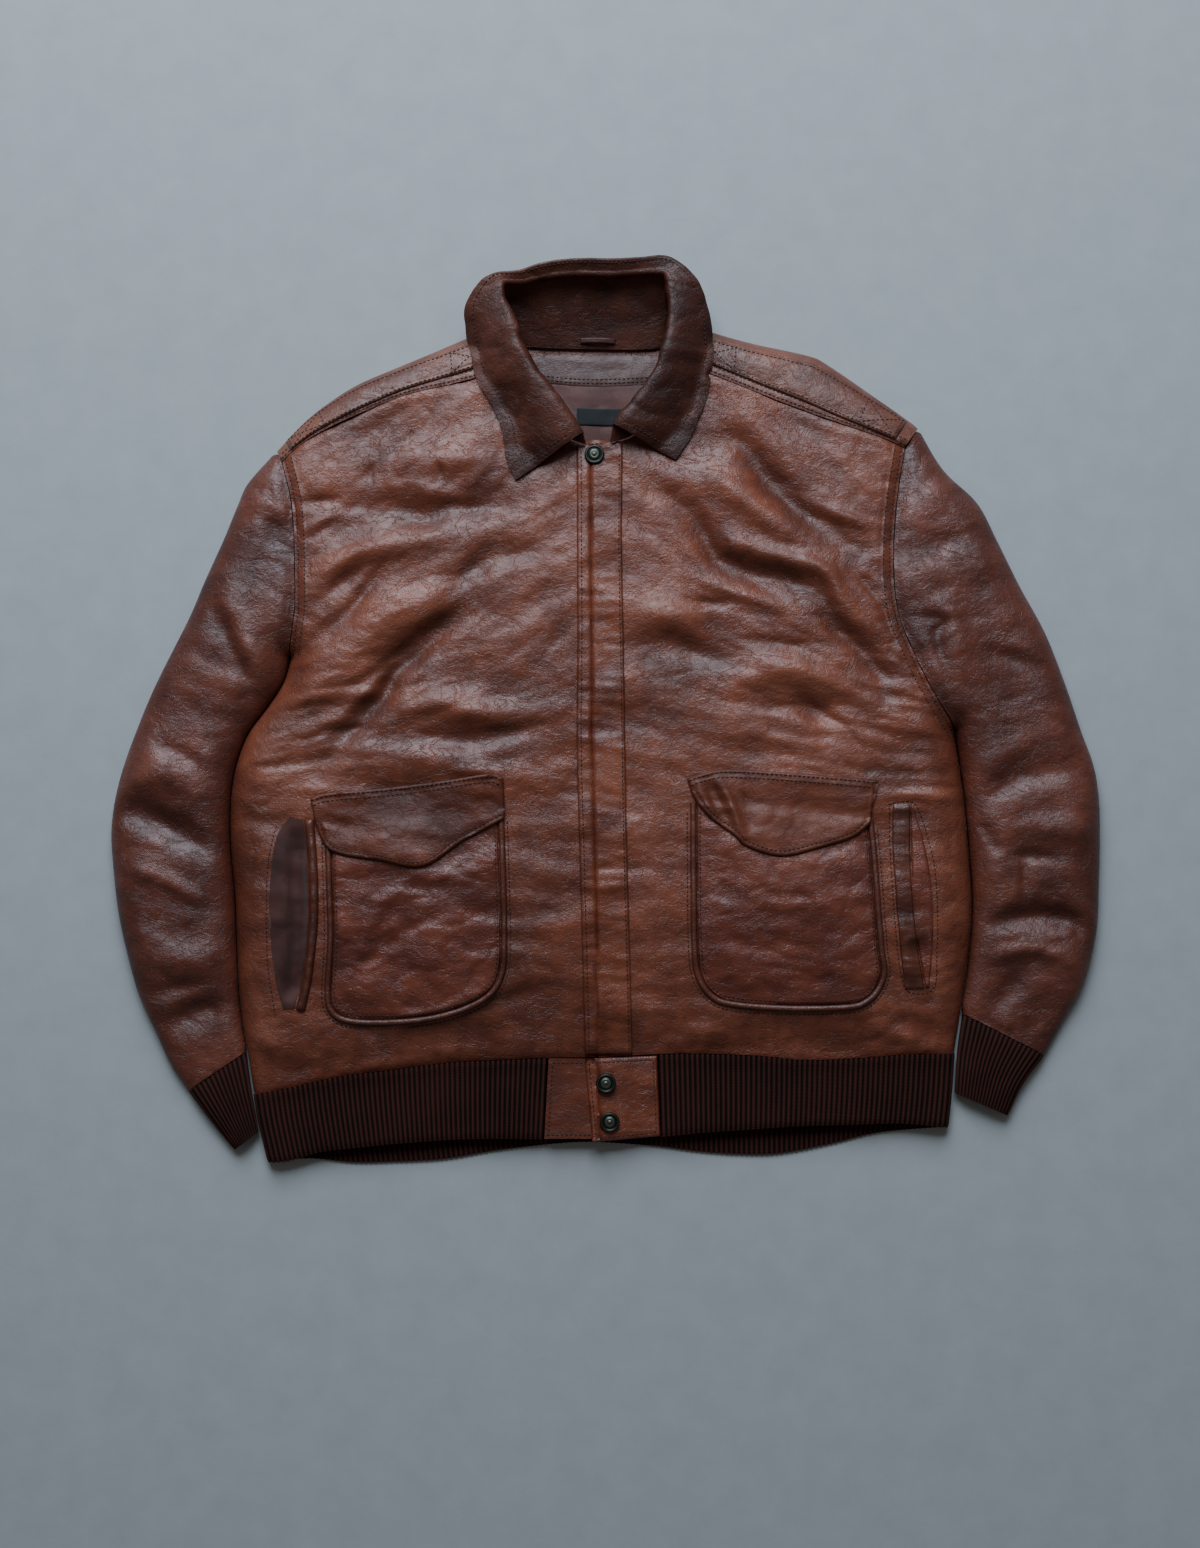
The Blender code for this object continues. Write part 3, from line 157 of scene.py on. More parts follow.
def along(curve: Array, fractions: Array | tuple) -> Array:
    """Return the points at given fractions of a curve's length.

    Args:
        curve: The curve's points.
        fractions: Places from 0 to 1.

    Returns:
        One row for each fraction.
    """
    steps = np.linalg.norm(np.diff(curve, axis=0), axis=1)
    reach = np.concatenate([[0.0], np.cumsum(steps)]) / steps.sum()
    return np.column_stack([np.interp(fractions, reach, curve[:, k]) for k in range(curve.shape[1])])


def length_of(curve: Array) -> float:
    """Return a curve's length."""
    return float(np.linalg.norm(np.diff(curve, axis=0), axis=1).sum())


def part_of(curve: Array, start: float, end: float) -> Array:
    """Return the stretch of a curve between two fractions of its length."""
    return along(curve, np.linspace(start, end, 60))


def past_start(curve: Array, distance: float) -> Array:
    """Return a curve without its first stretch of a given length."""
    return along(curve, np.linspace(distance / length_of(curve), 1.0, 160))


def moved_aside(curve: Array, distance: float) -> Array:
    """Return a curve moved to its left by a distance."""
    run = np.gradient(curve, axis=0)
    run /= np.linalg.norm(run, axis=1)[:, None]
    return curve + distance * np.column_stack([-run[:, 1], run[:, 0]])


def coons(low: Array, high: Array, left: Array, right: Array,
          across: Array, up: Array) -> Array:
    """Return plan points of a patch between four edge curves.

    Args:
        low: Lower edge, running across.
        high: Upper edge, running across.
        left: Left edge, one point for each row.
        right: Right edge, one point for each row.
        across: Places of the columns, from 0 to 1.
        up: Places of the rows, from 0 to 1.

    Returns:
        A grid of plan points.
    """
    bottom = along(low, across)
    top = along(high, across)
    u = np.array(across)[None, :, None]
    v = np.array(up)[:, None, None]
    ruled = (1 - v) * bottom[None] + v * top[None] + (1 - u) * left[:, None] + u * right[:, None]
    corners = ((1 - u) * (1 - v) * bottom[0] + u * (1 - v) * bottom[-1]
               + (1 - u) * v * top[0] + u * v * top[-1])
    return ruled - corners


def two_part_edge(lower: Array, upper: Array, rows: int, corner_row: int) -> Array:
    """Return edge points for each row, with the two curves meeting on corner_row."""
    first = along(lower, even(corner_row + 1))
    second = along(upper, even(rows - corner_row))
    return np.vstack([first, second[1:]])


def ribbon(left: Array, right: Array, columns: int, rows: int) -> Array:
    """Return plan points between two curves that run side by side."""
    a = along(left, even(rows))
    b = along(right, even(rows))
    u = even(columns)[None, :, None]
    return (1 - u) * a[:, None] + u * b[:, None]


def between_lines(low: Array, high: Array, columns: int, rows: Array) -> Array:
    """Return plan points between two lines that run across, with straight sides.

    Args:
        low: Lower line.
        high: Upper line.
        columns: Number of columns.
        rows: Places of the rows, from 0 to 1.

    Returns:
        A grid of plan points.
    """
    share = np.array(rows)[:, None]
    left = low[0] + share * (high[0] - low[0])
    right = low[-1] + share * (high[-1] - low[-1])
    return coons(low, high, left, right, even(columns), rows)


def quad_patch(corners: tuple, columns: int, rows: int) -> Array:
    """Return plan points of a four-cornered piece, corners from low left round."""
    low, low_end, high_end, high = (np.array(c, float) for c in corners)
    return ribbon(np.array([low, high]), np.array([low_end, high_end]), columns, rows)


def nearest(curve: Array, places: Array) -> tuple[Array, Array]:
    """Return each place's distance to a curve and how far along it that is.

    Args:
        curve: The curve's points in plan.
        places: The places in plan, in a list or a grid.

    Returns:
        Distances, and fractions of the curve's pieces from 0 to 1.
    """
    flat = places.reshape(-1, 2)
    start = curve[:-1]
    run = curve[1:] - start
    square = np.maximum((run * run).sum(-1), 1e-9)
    gaps, reaches = [], []
    for chunk in np.array_split(flat, max(1, len(flat) // 4000)):
        offset = chunk[:, None, :] - start[None]
        t = np.clip((offset * run).sum(-1) / square, 0, 1)
        gap = np.linalg.norm(offset - t[..., None] * run, axis=-1)
        best = gap.argmin(axis=1)
        row = np.arange(len(chunk))
        gaps.append(gap[row, best])
        reaches.append((best + t[row, best]) / len(start))
    return tuple(np.concatenate(found).reshape(places.shape[:-1]) for found in (gaps, reaches))


def spread(counts: tuple[float, ...], steps: int) -> Array:
    """Return places between 0 and 1 with each stretch of a list cut into steps."""
    places = np.linspace(0, len(counts) - 1, (len(counts) - 1) * steps + 1)
    return np.interp(places, np.arange(len(counts)), counts)


# Folds and wear

@dataclass(frozen=True)
class Fold:
    """A soft ridge, or a trough where its height is below zero."""

    line: Points
    width: float
    height: float


def relief(folds: list[Fold], places: Array) -> Array:
    """Return the height that folds add at each place."""
    total = np.zeros(places.shape[:-1])
    for fold in folds:
        gap, reach = nearest(smooth(fold.line, 4), places)
        total += fold.height * np.exp(-(gap / fold.width) ** 2) * (0.3 + 0.7 * np.sin(math.pi * reach))
    return total


def rumple(places: Array, across: float, up: float, seed: float) -> Array:
    """Return smooth noise from -1 to 1 whose bumps are across by up millimetres."""
    scaled = places.reshape(-1, 2) / (across, up)
    bumps = [noise.noise(Vector((x, y, seed))) for x, y in scaled.tolist()]
    return np.array(bumps).reshape(places.shape[:-1])


def creased(places: Array, size: float, seed: float) -> Array:
    """Return thin wandering creases from 0 to -1 on bumps of a given size."""
    lines = 1 - np.abs(rumple(places, size, size * 0.7, seed)) * 3.2
    return -np.clip(lines, 0, 1) ** 3


def worn(places: Array, seed: float, amount: float = 1.0, lean: Array | float = 0.0) -> Array:
    """Return the small lumps, ripples and creases of worn leather at each place.

    Args:
        places: The places in plan, in a list or a grid.
        seed: A number that differs from piece to piece.
        amount: Scale of the heights.
        lean: Direction in which the ripples run, in radians from X.

    Returns:
        Heights in millimetres.
    """
    cos, sin = np.cos(lean), np.sin(lean)
    x, y = places[..., 0], places[..., 1]
    bend = 9.0 * rumple(places, 70.0, 70.0, seed + 9.9)
    turned = np.stack([x * cos + y * sin, y * cos - x * sin + bend], axis=-1)
    lumps = LUMPS * rumple(turned, 74.0, 40.0, seed)
    ripples = RIPPLES * rumple(turned, 52.0, 17.0, seed + 7.3)
    small = BUMPS * rumple(turned, 15.0, 7.5, seed + 3.1)
    return amount * (lumps + ripples + small + CREASES * creased(turned, 34.0, seed + 5.7))


def pillow(gap: Array, edge: float, crown: Array | float) -> Array:
    """Return the height of a stuffed shape whose rounded edge is gap away."""
    reach = np.clip(gap / (EDGE_ROUND * crown), 0, 1)
    return edge + (crown - edge) * np.sqrt(1 - (1 - reach) ** 2)


def with_height(plan: Array, height: Array | float) -> Array:
    """Join a grid of plan points and a grid of heights."""
    return np.concatenate([plan, np.broadcast_to(height, plan.shape[:2])[..., None]], axis=2)


def unit_normals(grid: Array, wraps: bool = False) -> Array:
    """Return unit normals of a grid, pointing up, or outwards where its columns wrap."""
    up = np.gradient(grid, axis=0)
    across = np.gradient(grid, axis=1)
    if wraps:
        across = np.roll(grid, -1, axis=1) - np.roll(grid, 1, axis=1)
    normals = np.cross(across, up)
    normals /= np.maximum(np.linalg.norm(normals, axis=2), 1e-9)[..., None]
    outward = grid - grid.mean(axis=1, keepdims=True) if wraps else np.array([0.0, 0.0, 1.0])
    return -normals if (normals * outward).sum() < 0 else normals


def softened(values: Array, rounds: int) -> Array:
    """Return a grid of numbers averaged with its neighbours a few times."""
    for _ in range(rounds):
        padded = np.pad(values, 1, mode="edge")
        values = (padded[:-2, 1:-1] + padded[2:, 1:-1] + padded[1:-1, :-2] + padded[1:-1, 2:]
                  + 2 * values) / 6
    return values


# Finishes

def srgb(red: int, green: int, blue: int) -> tuple[float, float, float, float]:
    """Return a linear colour from screen values of 0 to 255."""
    parts = [c / 255 for c in (red, green, blue)]
    linear = [c / 12.92 if c <= 0.04045 else ((c + 0.055) / 1.055) ** 2.4 for c in parts]
    return (*linear, 1.0)


class Recipe:
    """A material and its nodes while they are put together."""

    def __init__(self, name: str) -> None:
        """Start a material whose Principled shader is ready to be fed."""
        self.material = bpy.data.materials.new(name)
        self.material.use_nodes = True
        self.tree = self.material.node_tree
        self.shader = self.tree.nodes["Principled BSDF"]

    def node(self, kind: str, sockets: dict[str | int, object], **settings: object) -> bpy.types.Node:
        """Add a node.

        Args:
            kind: Blender's name of the node type.
            sockets: Inputs by name or place, as constants or as outputs to link.
            settings: The node's own settings.

        Returns:
            The node.
        """
        made = self.tree.nodes.new(kind)
        for key, value in settings.items():
            setattr(made, key, value)
        for key, value in sockets.items():
            if isinstance(value, Socket):
                self.tree.links.new(value, made.inputs[key])
            else:
                made.inputs[key].default_value = value
        return made

    def math(self, operation: str, a: object, b: object = 0.0, clamp: bool = False) -> Socket:
        """Return the output of a math node."""
        return self.node("ShaderNodeMath", {0: a, 1: b}, operation=operation, use_clamp=clamp).outputs[0]

    def place(self, stretch: tuple[float, float, float] = (1.0, 1.0, 1.0)) -> Socket:
        """Return object coordinates, stretched along each axis."""
        coords = self.node("ShaderNodeTexCoord", {}).outputs["Object"]
        return self.node("ShaderNodeMapping", {"Vector": coords, "Scale": stretch}).outputs[0]

    def mark(self, name: str) -> Socket:
        """Return a number kept at the points of the piece."""
        return self.node("ShaderNodeAttribute", {}, attribute_name=name).outputs["Fac"]

    def clouds(self, vector: object, scale: float, detail: float = 4.0, warp: float = 0.0) -> Socket:
        """Return noise from 0 to 1 with bumps of one metre over scale."""
        sockets = {"Vector": vector, "Scale": scale, "Detail": detail, "Roughness": 0.6, "Distortion": warp}
        return self.node("ShaderNodeTexNoise", sockets).outputs[0]

    def ramp(self, value: object, stops: list[tuple[float, tuple]]) -> Socket:
        """Return a colour looked up between stops of place and colour."""
        made = self.node("ShaderNodeValToRGB", {0: value})
        bar = made.color_ramp.elements
        while len(bar) < len(stops):
            bar.new(0.5)
        for element, (at, colour) in zip(bar, stops):
            element.position = at
            element.color = colour
        return made.outputs[0]

    def between(self, value: object, low: float, high: float, to_low: float, to_high: float) -> Socket:
        """Return a number moved from one range to another."""
        sockets = {0: value, 1: low, 2: high, 3: to_low, 4: to_high}
        return self.node("ShaderNodeMapRange", sockets).outputs[0]

    def blended(self, factor: object, a: object, b: object, how: str = "MIX") -> Socket:
        """Return two colours blended."""
        made = self.node("ShaderNodeMix", {0: factor, 6: a, 7: b}, data_type="RGBA", blend_type=how)
        return made.outputs[2]

    def bumped(self, height: object, distance: float, strength: float = 1.0, after: object = None) -> Socket:
        """Return a normal raised by a height of up to distance metres."""
        sockets = {"Height": height, "Distance": distance, "Strength": strength}
        if after is not None:
            sockets["Normal"] = after
        return self.node("ShaderNodeBump", sockets).outputs[0]

    def feed(self, **sockets: object) -> bpy.types.Material:
        """Feed the shader's sockets, named with _ for spaces, and return the material."""
        for key, value in sockets.items():
            socket = self.shader.inputs[key.replace("_", " ")]
            if isinstance(value, Socket):
                self.tree.links.new(value, socket)
            else:
                socket.default_value = value
        return self.material


@dataclass(frozen=True)
class Leather:
    """Worn grain leather, darker in its fine creases, with painted light on the ridges of its relief and
    painted shade in its troughs.
    """

    name: str
    dark: tuple[int, int, int]
    middle: tuple[int, int, int]
    rubbed: tuple[int, int, int]
    roughness: float = 0.46
    wrinkle: float = 1.0
    shine: float = 0.5

    def make(self) -> bpy.types.Material:
        """Return the material."""
        r = Recipe(self.name)
        place = r.place()
        tone = r.clouds(place, 8.0, 3.0)
        mottle = r.clouds(place, 42.0, 5.0)
        warped = r.clouds(r.place((1.0, 1.5, 1.0)), 30.0, 5.0, 1.2)
        ridge = r.math("ABSOLUTE", r.math("SUBTRACT", warped, 0.5))
        crease = r.between(ridge, 0.0, 0.02, 0.0, 1.0)
        fine = r.clouds(r.place((1.0, 1.3, 1.0)), 150.0, 4.0, 0.8)
        cells = r.node("ShaderNodeTexVoronoi", {"Vector": place, "Scale": 620.0},
                       feature="DISTANCE_TO_EDGE").outputs[0]
        grain = r.between(cells, 0.0, 0.3, 0.0, 1.0)
        crest = r.mark("crest")
        mix = r.math("ADD", r.math("MULTIPLY", tone, 0.55), r.math("MULTIPLY", mottle, 0.45))
        # Painted light and shade: the relief mark lightens the colour on the ridges of the relief and darkens
        # it in the troughs.
        mix = r.math("ADD", mix, r.math("MULTIPLY", crest, 0.09), clamp=True)
        tones = zip((0.36, 0.5, 0.66), (self.dark, self.middle, self.rubbed))
        colour = r.ramp(mix, [(at, srgb(*tone)) for at, tone in tones])
        shade = r.between(crease, 0.0, 1.0, 0.86, 1.0)
        grey = r.node("ShaderNodeCombineColor", {0: shade, 1: shade, 2: shade}).outputs[0]
        colour = r.blended(1.0, colour, grey, "MULTIPLY")
        rough = r.between(mottle, 0.3, 0.7, self.roughness + 0.07, self.roughness - 0.07)
        normal = r.bumped(fine, 0.0011 * self.wrinkle, 0.8)
        normal = r.bumped(crease, 0.00035 * self.wrinkle, 0.6, normal)
        normal = r.bumped(grain, 0.00018, 0.45, normal)
        return r.feed(Base_Color=colour, Roughness=rough, Normal=normal, Specular_IOR_Level=self.shine)


@dataclass(frozen=True)
class Knit:
    """Rib knit, furred, with its courses in the piece's own attributes and painted shade in the grooves
    between its ribs.
    """

    name: str
    dark: tuple[int, int, int]
    light: tuple[int, int, int]

    def make(self) -> bpy.types.Material:
        """Return the material."""
        r = Recipe(self.name)
        place = r.place()
        course = r.mark("course")
        wale = r.mark("wale")
        rib_shade_wave = r.math("COSINE", r.math("MULTIPLY", course, 2 * math.pi))
        yarn = r.math("SINE", r.math("ADD", r.math("MULTIPLY", wale, 4.2), r.math("MULTIPLY", rib_shade_wave, 1.6)))
        fuzz = r.clouds(place, 900.0, 5.0)
        fade = r.clouds(place, 24.0, 3.0)
        # Painted shade: the colour darkens in the grooves between the raised ribs and lightens on their tops
        mix = r.math("ADD", r.math("MULTIPLY", rib_shade_wave, -0.4), r.math("MULTIPLY", fade, 0.7))
        mix = r.math("ADD", mix, r.math("MULTIPLY", fuzz, 0.25), clamp=True)
        colour = r.ramp(mix, [(0.2, srgb(*self.dark)), (0.75, srgb(*self.light))])
        normal = r.bumped(yarn, 0.0002, 0.7)
        normal = r.bumped(fuzz, 0.0005, 0.6, normal)
        rough = r.between(fuzz, 0.0, 1.0, 0.8, 0.98)
        return r.feed(Base_Color=colour, Roughness=rough, Normal=normal, Specular_IOR_Level=0.15)


@dataclass(frozen=True)
class Cloth:
    """Fine woven lining or label cloth."""

    name: str
    dark: tuple[int, int, int]
    light: tuple[int, int, int]
    threads: float
    roughness: float

    def make(self) -> bpy.types.Material:
        """Return the material."""
        r = Recipe(self.name)
        place = r.place()
        waves = [r.node("ShaderNodeTexWave", {"Vector": place, "Scale": self.threads, "Distortion": 0.4},
                        bands_direction=axis).outputs[1] for axis in ("X", "Y")]
        weave = r.math("MULTIPLY", waves[0], waves[1])
        cloud = r.clouds(place, 60.0, 4.0)
        mix = r.math("ADD", r.math("MULTIPLY", weave, 0.3), r.math("MULTIPLY", cloud, 0.8), clamp=True)
        colour = r.ramp(mix, [(0.2, srgb(*self.dark)), (0.85, srgb(*self.light))])
        normal = r.bumped(weave, 0.00015, 0.6, r.bumped(cloud, 0.0015, 0.4))
        rough = r.between(cloud, 0.0, 1.0, self.roughness + 0.1, self.roughness - 0.1)
        return r.feed(Base_Color=colour, Roughness=rough, Normal=normal, Sheen_Weight=0.2,
                      Sheen_Roughness=0.4)


@dataclass(frozen=True)
class Metal:
    """Antique finished metal, dark in its hollows and rubbed on its rims."""

    name: str
    dark: tuple[int, int, int]
    rubbed: tuple[int, int, int]

    def make(self) -> bpy.types.Material:
        """Return the material."""
        r = Recipe(self.name)
        place = r.place()
        spots = r.clouds(place, 420.0, 5.0)
        crest = r.mark("crest")
        mix = r.math("ADD", r.math("MULTIPLY", spots, 0.7), r.math("MULTIPLY", crest, 0.35), clamp=True)
        colour = r.ramp(mix, [(0.3, srgb(*self.dark)), (0.8, srgb(*self.rubbed))])
        rough = r.between(spots, 0.2, 0.8, 0.52, 0.3)
        normal = r.bumped(spots, 0.0001, 0.5)
        return r.feed(Base_Color=colour, Roughness=rough, Normal=normal, Metallic=0.85)


@dataclass(frozen=True)
class Thread:
    """Waxed sewing thread, twisted and soiled."""

    name: str
    dark: tuple[int, int, int]
    light: tuple[int, int, int]

    def make(self) -> bpy.types.Material:
        """Return the material."""
        r = Recipe(self.name)
        place = r.place()
        soil = r.clouds(place, 120.0, 4.0)
        twist = r.clouds(place, 2600.0, 2.0)
        colour = r.ramp(soil, [(0.3, srgb(*self.dark)), (0.7, srgb(*self.light))])
        rough = r.between(soil, 0.0, 1.0, 0.8, 0.6)
        return r.feed(Base_Color=colour, Roughness=rough, Normal=r.bumped(twist, 0.0002, 0.6))


@dataclass(frozen=True)
class Floor:
    """Plain pale floor with a trace of unevenness."""

    name: str
    dark: tuple[int, int, int]
    light: tuple[int, int, int]

    def make(self) -> bpy.types.Material:
        """Return the material."""
        r = Recipe(self.name)
        cloud = r.clouds(r.place(), 30.0, 6.0)
        speck = r.clouds(r.place(), 260.0, 3.0)
        colour = r.ramp(cloud, [(0.3, srgb(*self.dark)), (0.7, srgb(*self.light))])
        return r.feed(Base_Color=colour, Roughness=0.75, Normal=r.bumped(speck, 0.0002, 0.3))


class Wardrobe:
    """All finishes of the jacket, each made once."""

    def __init__(self) -> None:
        """Make the materials."""
        leathers = [
            Leather("front_leather", (82, 38, 24), (104, 51, 34), (126, 68, 48), 0.4),
            Leather("sleeve_leather", (68, 29, 20), (86, 41, 29), (108, 57, 43), 0.42),
            Leather("shoulder_leather", (82, 42, 30), (102, 56, 42), (124, 76, 60), 0.42),
            Leather("strap_leather", (78, 40, 28), (98, 53, 38), (118, 70, 54), 0.42),
            Leather("placket_leather", (84, 36, 22), (106, 51, 32), (128, 68, 46), 0.4, 0.8),
            Leather("pocket_leather", (78, 33, 23), (98, 46, 33), (118, 62, 46), 0.38),
            Leather("flap_leather", (68, 29, 18), (88, 41, 26), (108, 56, 39), 0.46, 0.8, 0.32),
            Leather("collar_leather", (48, 20, 13), (66, 31, 21), (88, 46, 34), 0.46, 1.0, 0.32),
            Leather("facing_leather", (64, 36, 31), (80, 49, 43), (98, 66, 59), 0.48, 0.5),
            Leather("trim_leather", (62, 26, 17), (80, 38, 26), (100, 53, 38), 0.4, 0.6),
            Leather("back_leather", (78, 37, 25), (96, 49, 34), (114, 64, 47), 0.42),
        ]
        others = [
            Knit("rib_knit", (16, 7, 5), (62, 30, 24)),
            Cloth("lining_cloth", (62, 28, 23), (100, 54, 46), 1600.0, 0.45),
            Cloth("pocket_cloth", (44, 16, 11), (82, 36, 26), 1600.0, 0.75),
            Cloth("label_cloth", (8, 9, 10), (22, 24, 27), 1600.0, 0.8),
            Metal("antique_metal", (34, 38, 34), (86, 88, 76)),
            Thread("brown_thread", (34, 14, 9), (58, 28, 19)),
        ]
        self.made = {f.name: f.make() for f in leathers + others}

    def __getitem__(self, name: str) -> bpy.types.Material:
        """Return the material of a name."""
        return self.made[name]


# Making and laying pieces

@dataclass
class Piece:
    """One finished piece and what is kept about it."""

    made: bpy.types.Object
    slot: str
    cut: tuple[float, float, float] | None
    held: Held
    rests_on: list[str]
    with_pieces: list[bpy.types.Object] = field(default_factory=list)


def signed_volume(points: Array, faces: list[list[int]]) -> float:
    """Return six times the volume that closed faces enclose, below zero if inside out."""
    quads = np.array([f if len(f) == 4 else [*f, f[0]] for f in faces if len(f) in (3, 4)])
    a, b, c, d = (points[quads[:, k]] for k in range(4))
    return float((a * np.cross(b, c)).sum() + (a * np.cross(c, d)).sum())


def put(name: str, data: bpy.types.ID) -> bpy.types.Object:
    """Put an object with given data in the scene."""
    made = bpy.data.objects.new(name, data)
    bpy.context.scene.collection.objects.link(made)
    return made


def mark_points(mesh: bpy.types.Mesh, marks: dict[str, Array]) -> None:
    """Keep numbers at each point of a mesh, by attribute name."""
    for key, values in marks.items():
        layer = mesh.attributes.new(key, "FLOAT", "POINT")
        layer.data.foreach_set("value", np.asarray(values, np.float32).ravel())


def plain_mesh(name: str, points: Array, faces: list[list[int]], look: bpy.types.Material,
               marks: dict[str, Array] | None = None) -> bpy.types.Object:
    """Make a closed mesh object with its place in its mesh.

    Args:
        name: The object's name.
        points: Its points in millimetres.
        faces: Its faces by point number.
        look: Its material.
        marks: Numbers kept at each point, by attribute name.

    Returns:
        The object.
    """
    if signed_volume(points, faces) < 0:
        faces = [f[::-1] for f in faces]
    mesh = bpy.data.meshes.new(name)
    mesh.from_pydata(((points - ORIGIN) * MM).tolist(), [], faces)
    mesh.shade_smooth()
    mesh.set_sharp_from_angle(angle=math.radians(60))
    mesh.materials.append(look)
    mark_points(mesh, marks or {})
    return put(name, mesh)


def drum_faces(rings: int, count: int) -> list[list[int]]:
    """Return the faces of rings of count points each, one above the other, closed at both ends."""
    faces = [list(range(count))[::-1], [(rings - 1) * count + k for k in range(count)]]
    for ring in range(rings - 1):
        for k in range(count):
            a, b = ring * count + k, ring * count + (k + 1) % count
            faces.append([a, b, b + count, a + count])
    return faces


def wall_faces(rows: int, columns: int, link: tuple[int, int] | None = None) -> tuple[list, list]:
    """Return a grid's faces and those of the wall between it and its inner twin.

    Args:
        rows: The grid's rows.
        columns: The grid's columns.
        link: Without it the last column isn't joined to the first. With it they
            are, and the column of its second number joins the next only from
            the row of its first number on.

    Returns:
        The outer faces, and all faces of the closed wall.
    """
    count = rows * columns
    sheet = []
    for i in range(rows - 1):
        for j in range(columns if link else columns - 1):
            if link and j == link[1] and i < link[0]:
                continue
            k = (j + 1) % columns
            sheet.append([i * columns + j, i * columns + k, (i + 1) * columns + k, (i + 1) * columns + j])
    open_edges = set()
    for quad in sheet:
        for a, b in zip(quad, quad[1:] + quad[:1]):
            if (b, a) in open_edges:
                open_edges.remove((b, a))
            else:
                open_edges.add((a, b))
    faces = sheet + [[count + n for n in reversed(quad)] for quad in sheet]
    faces += [[b, a, count + a, count + b] for a, b in sorted(open_edges)]
    return sheet, faces


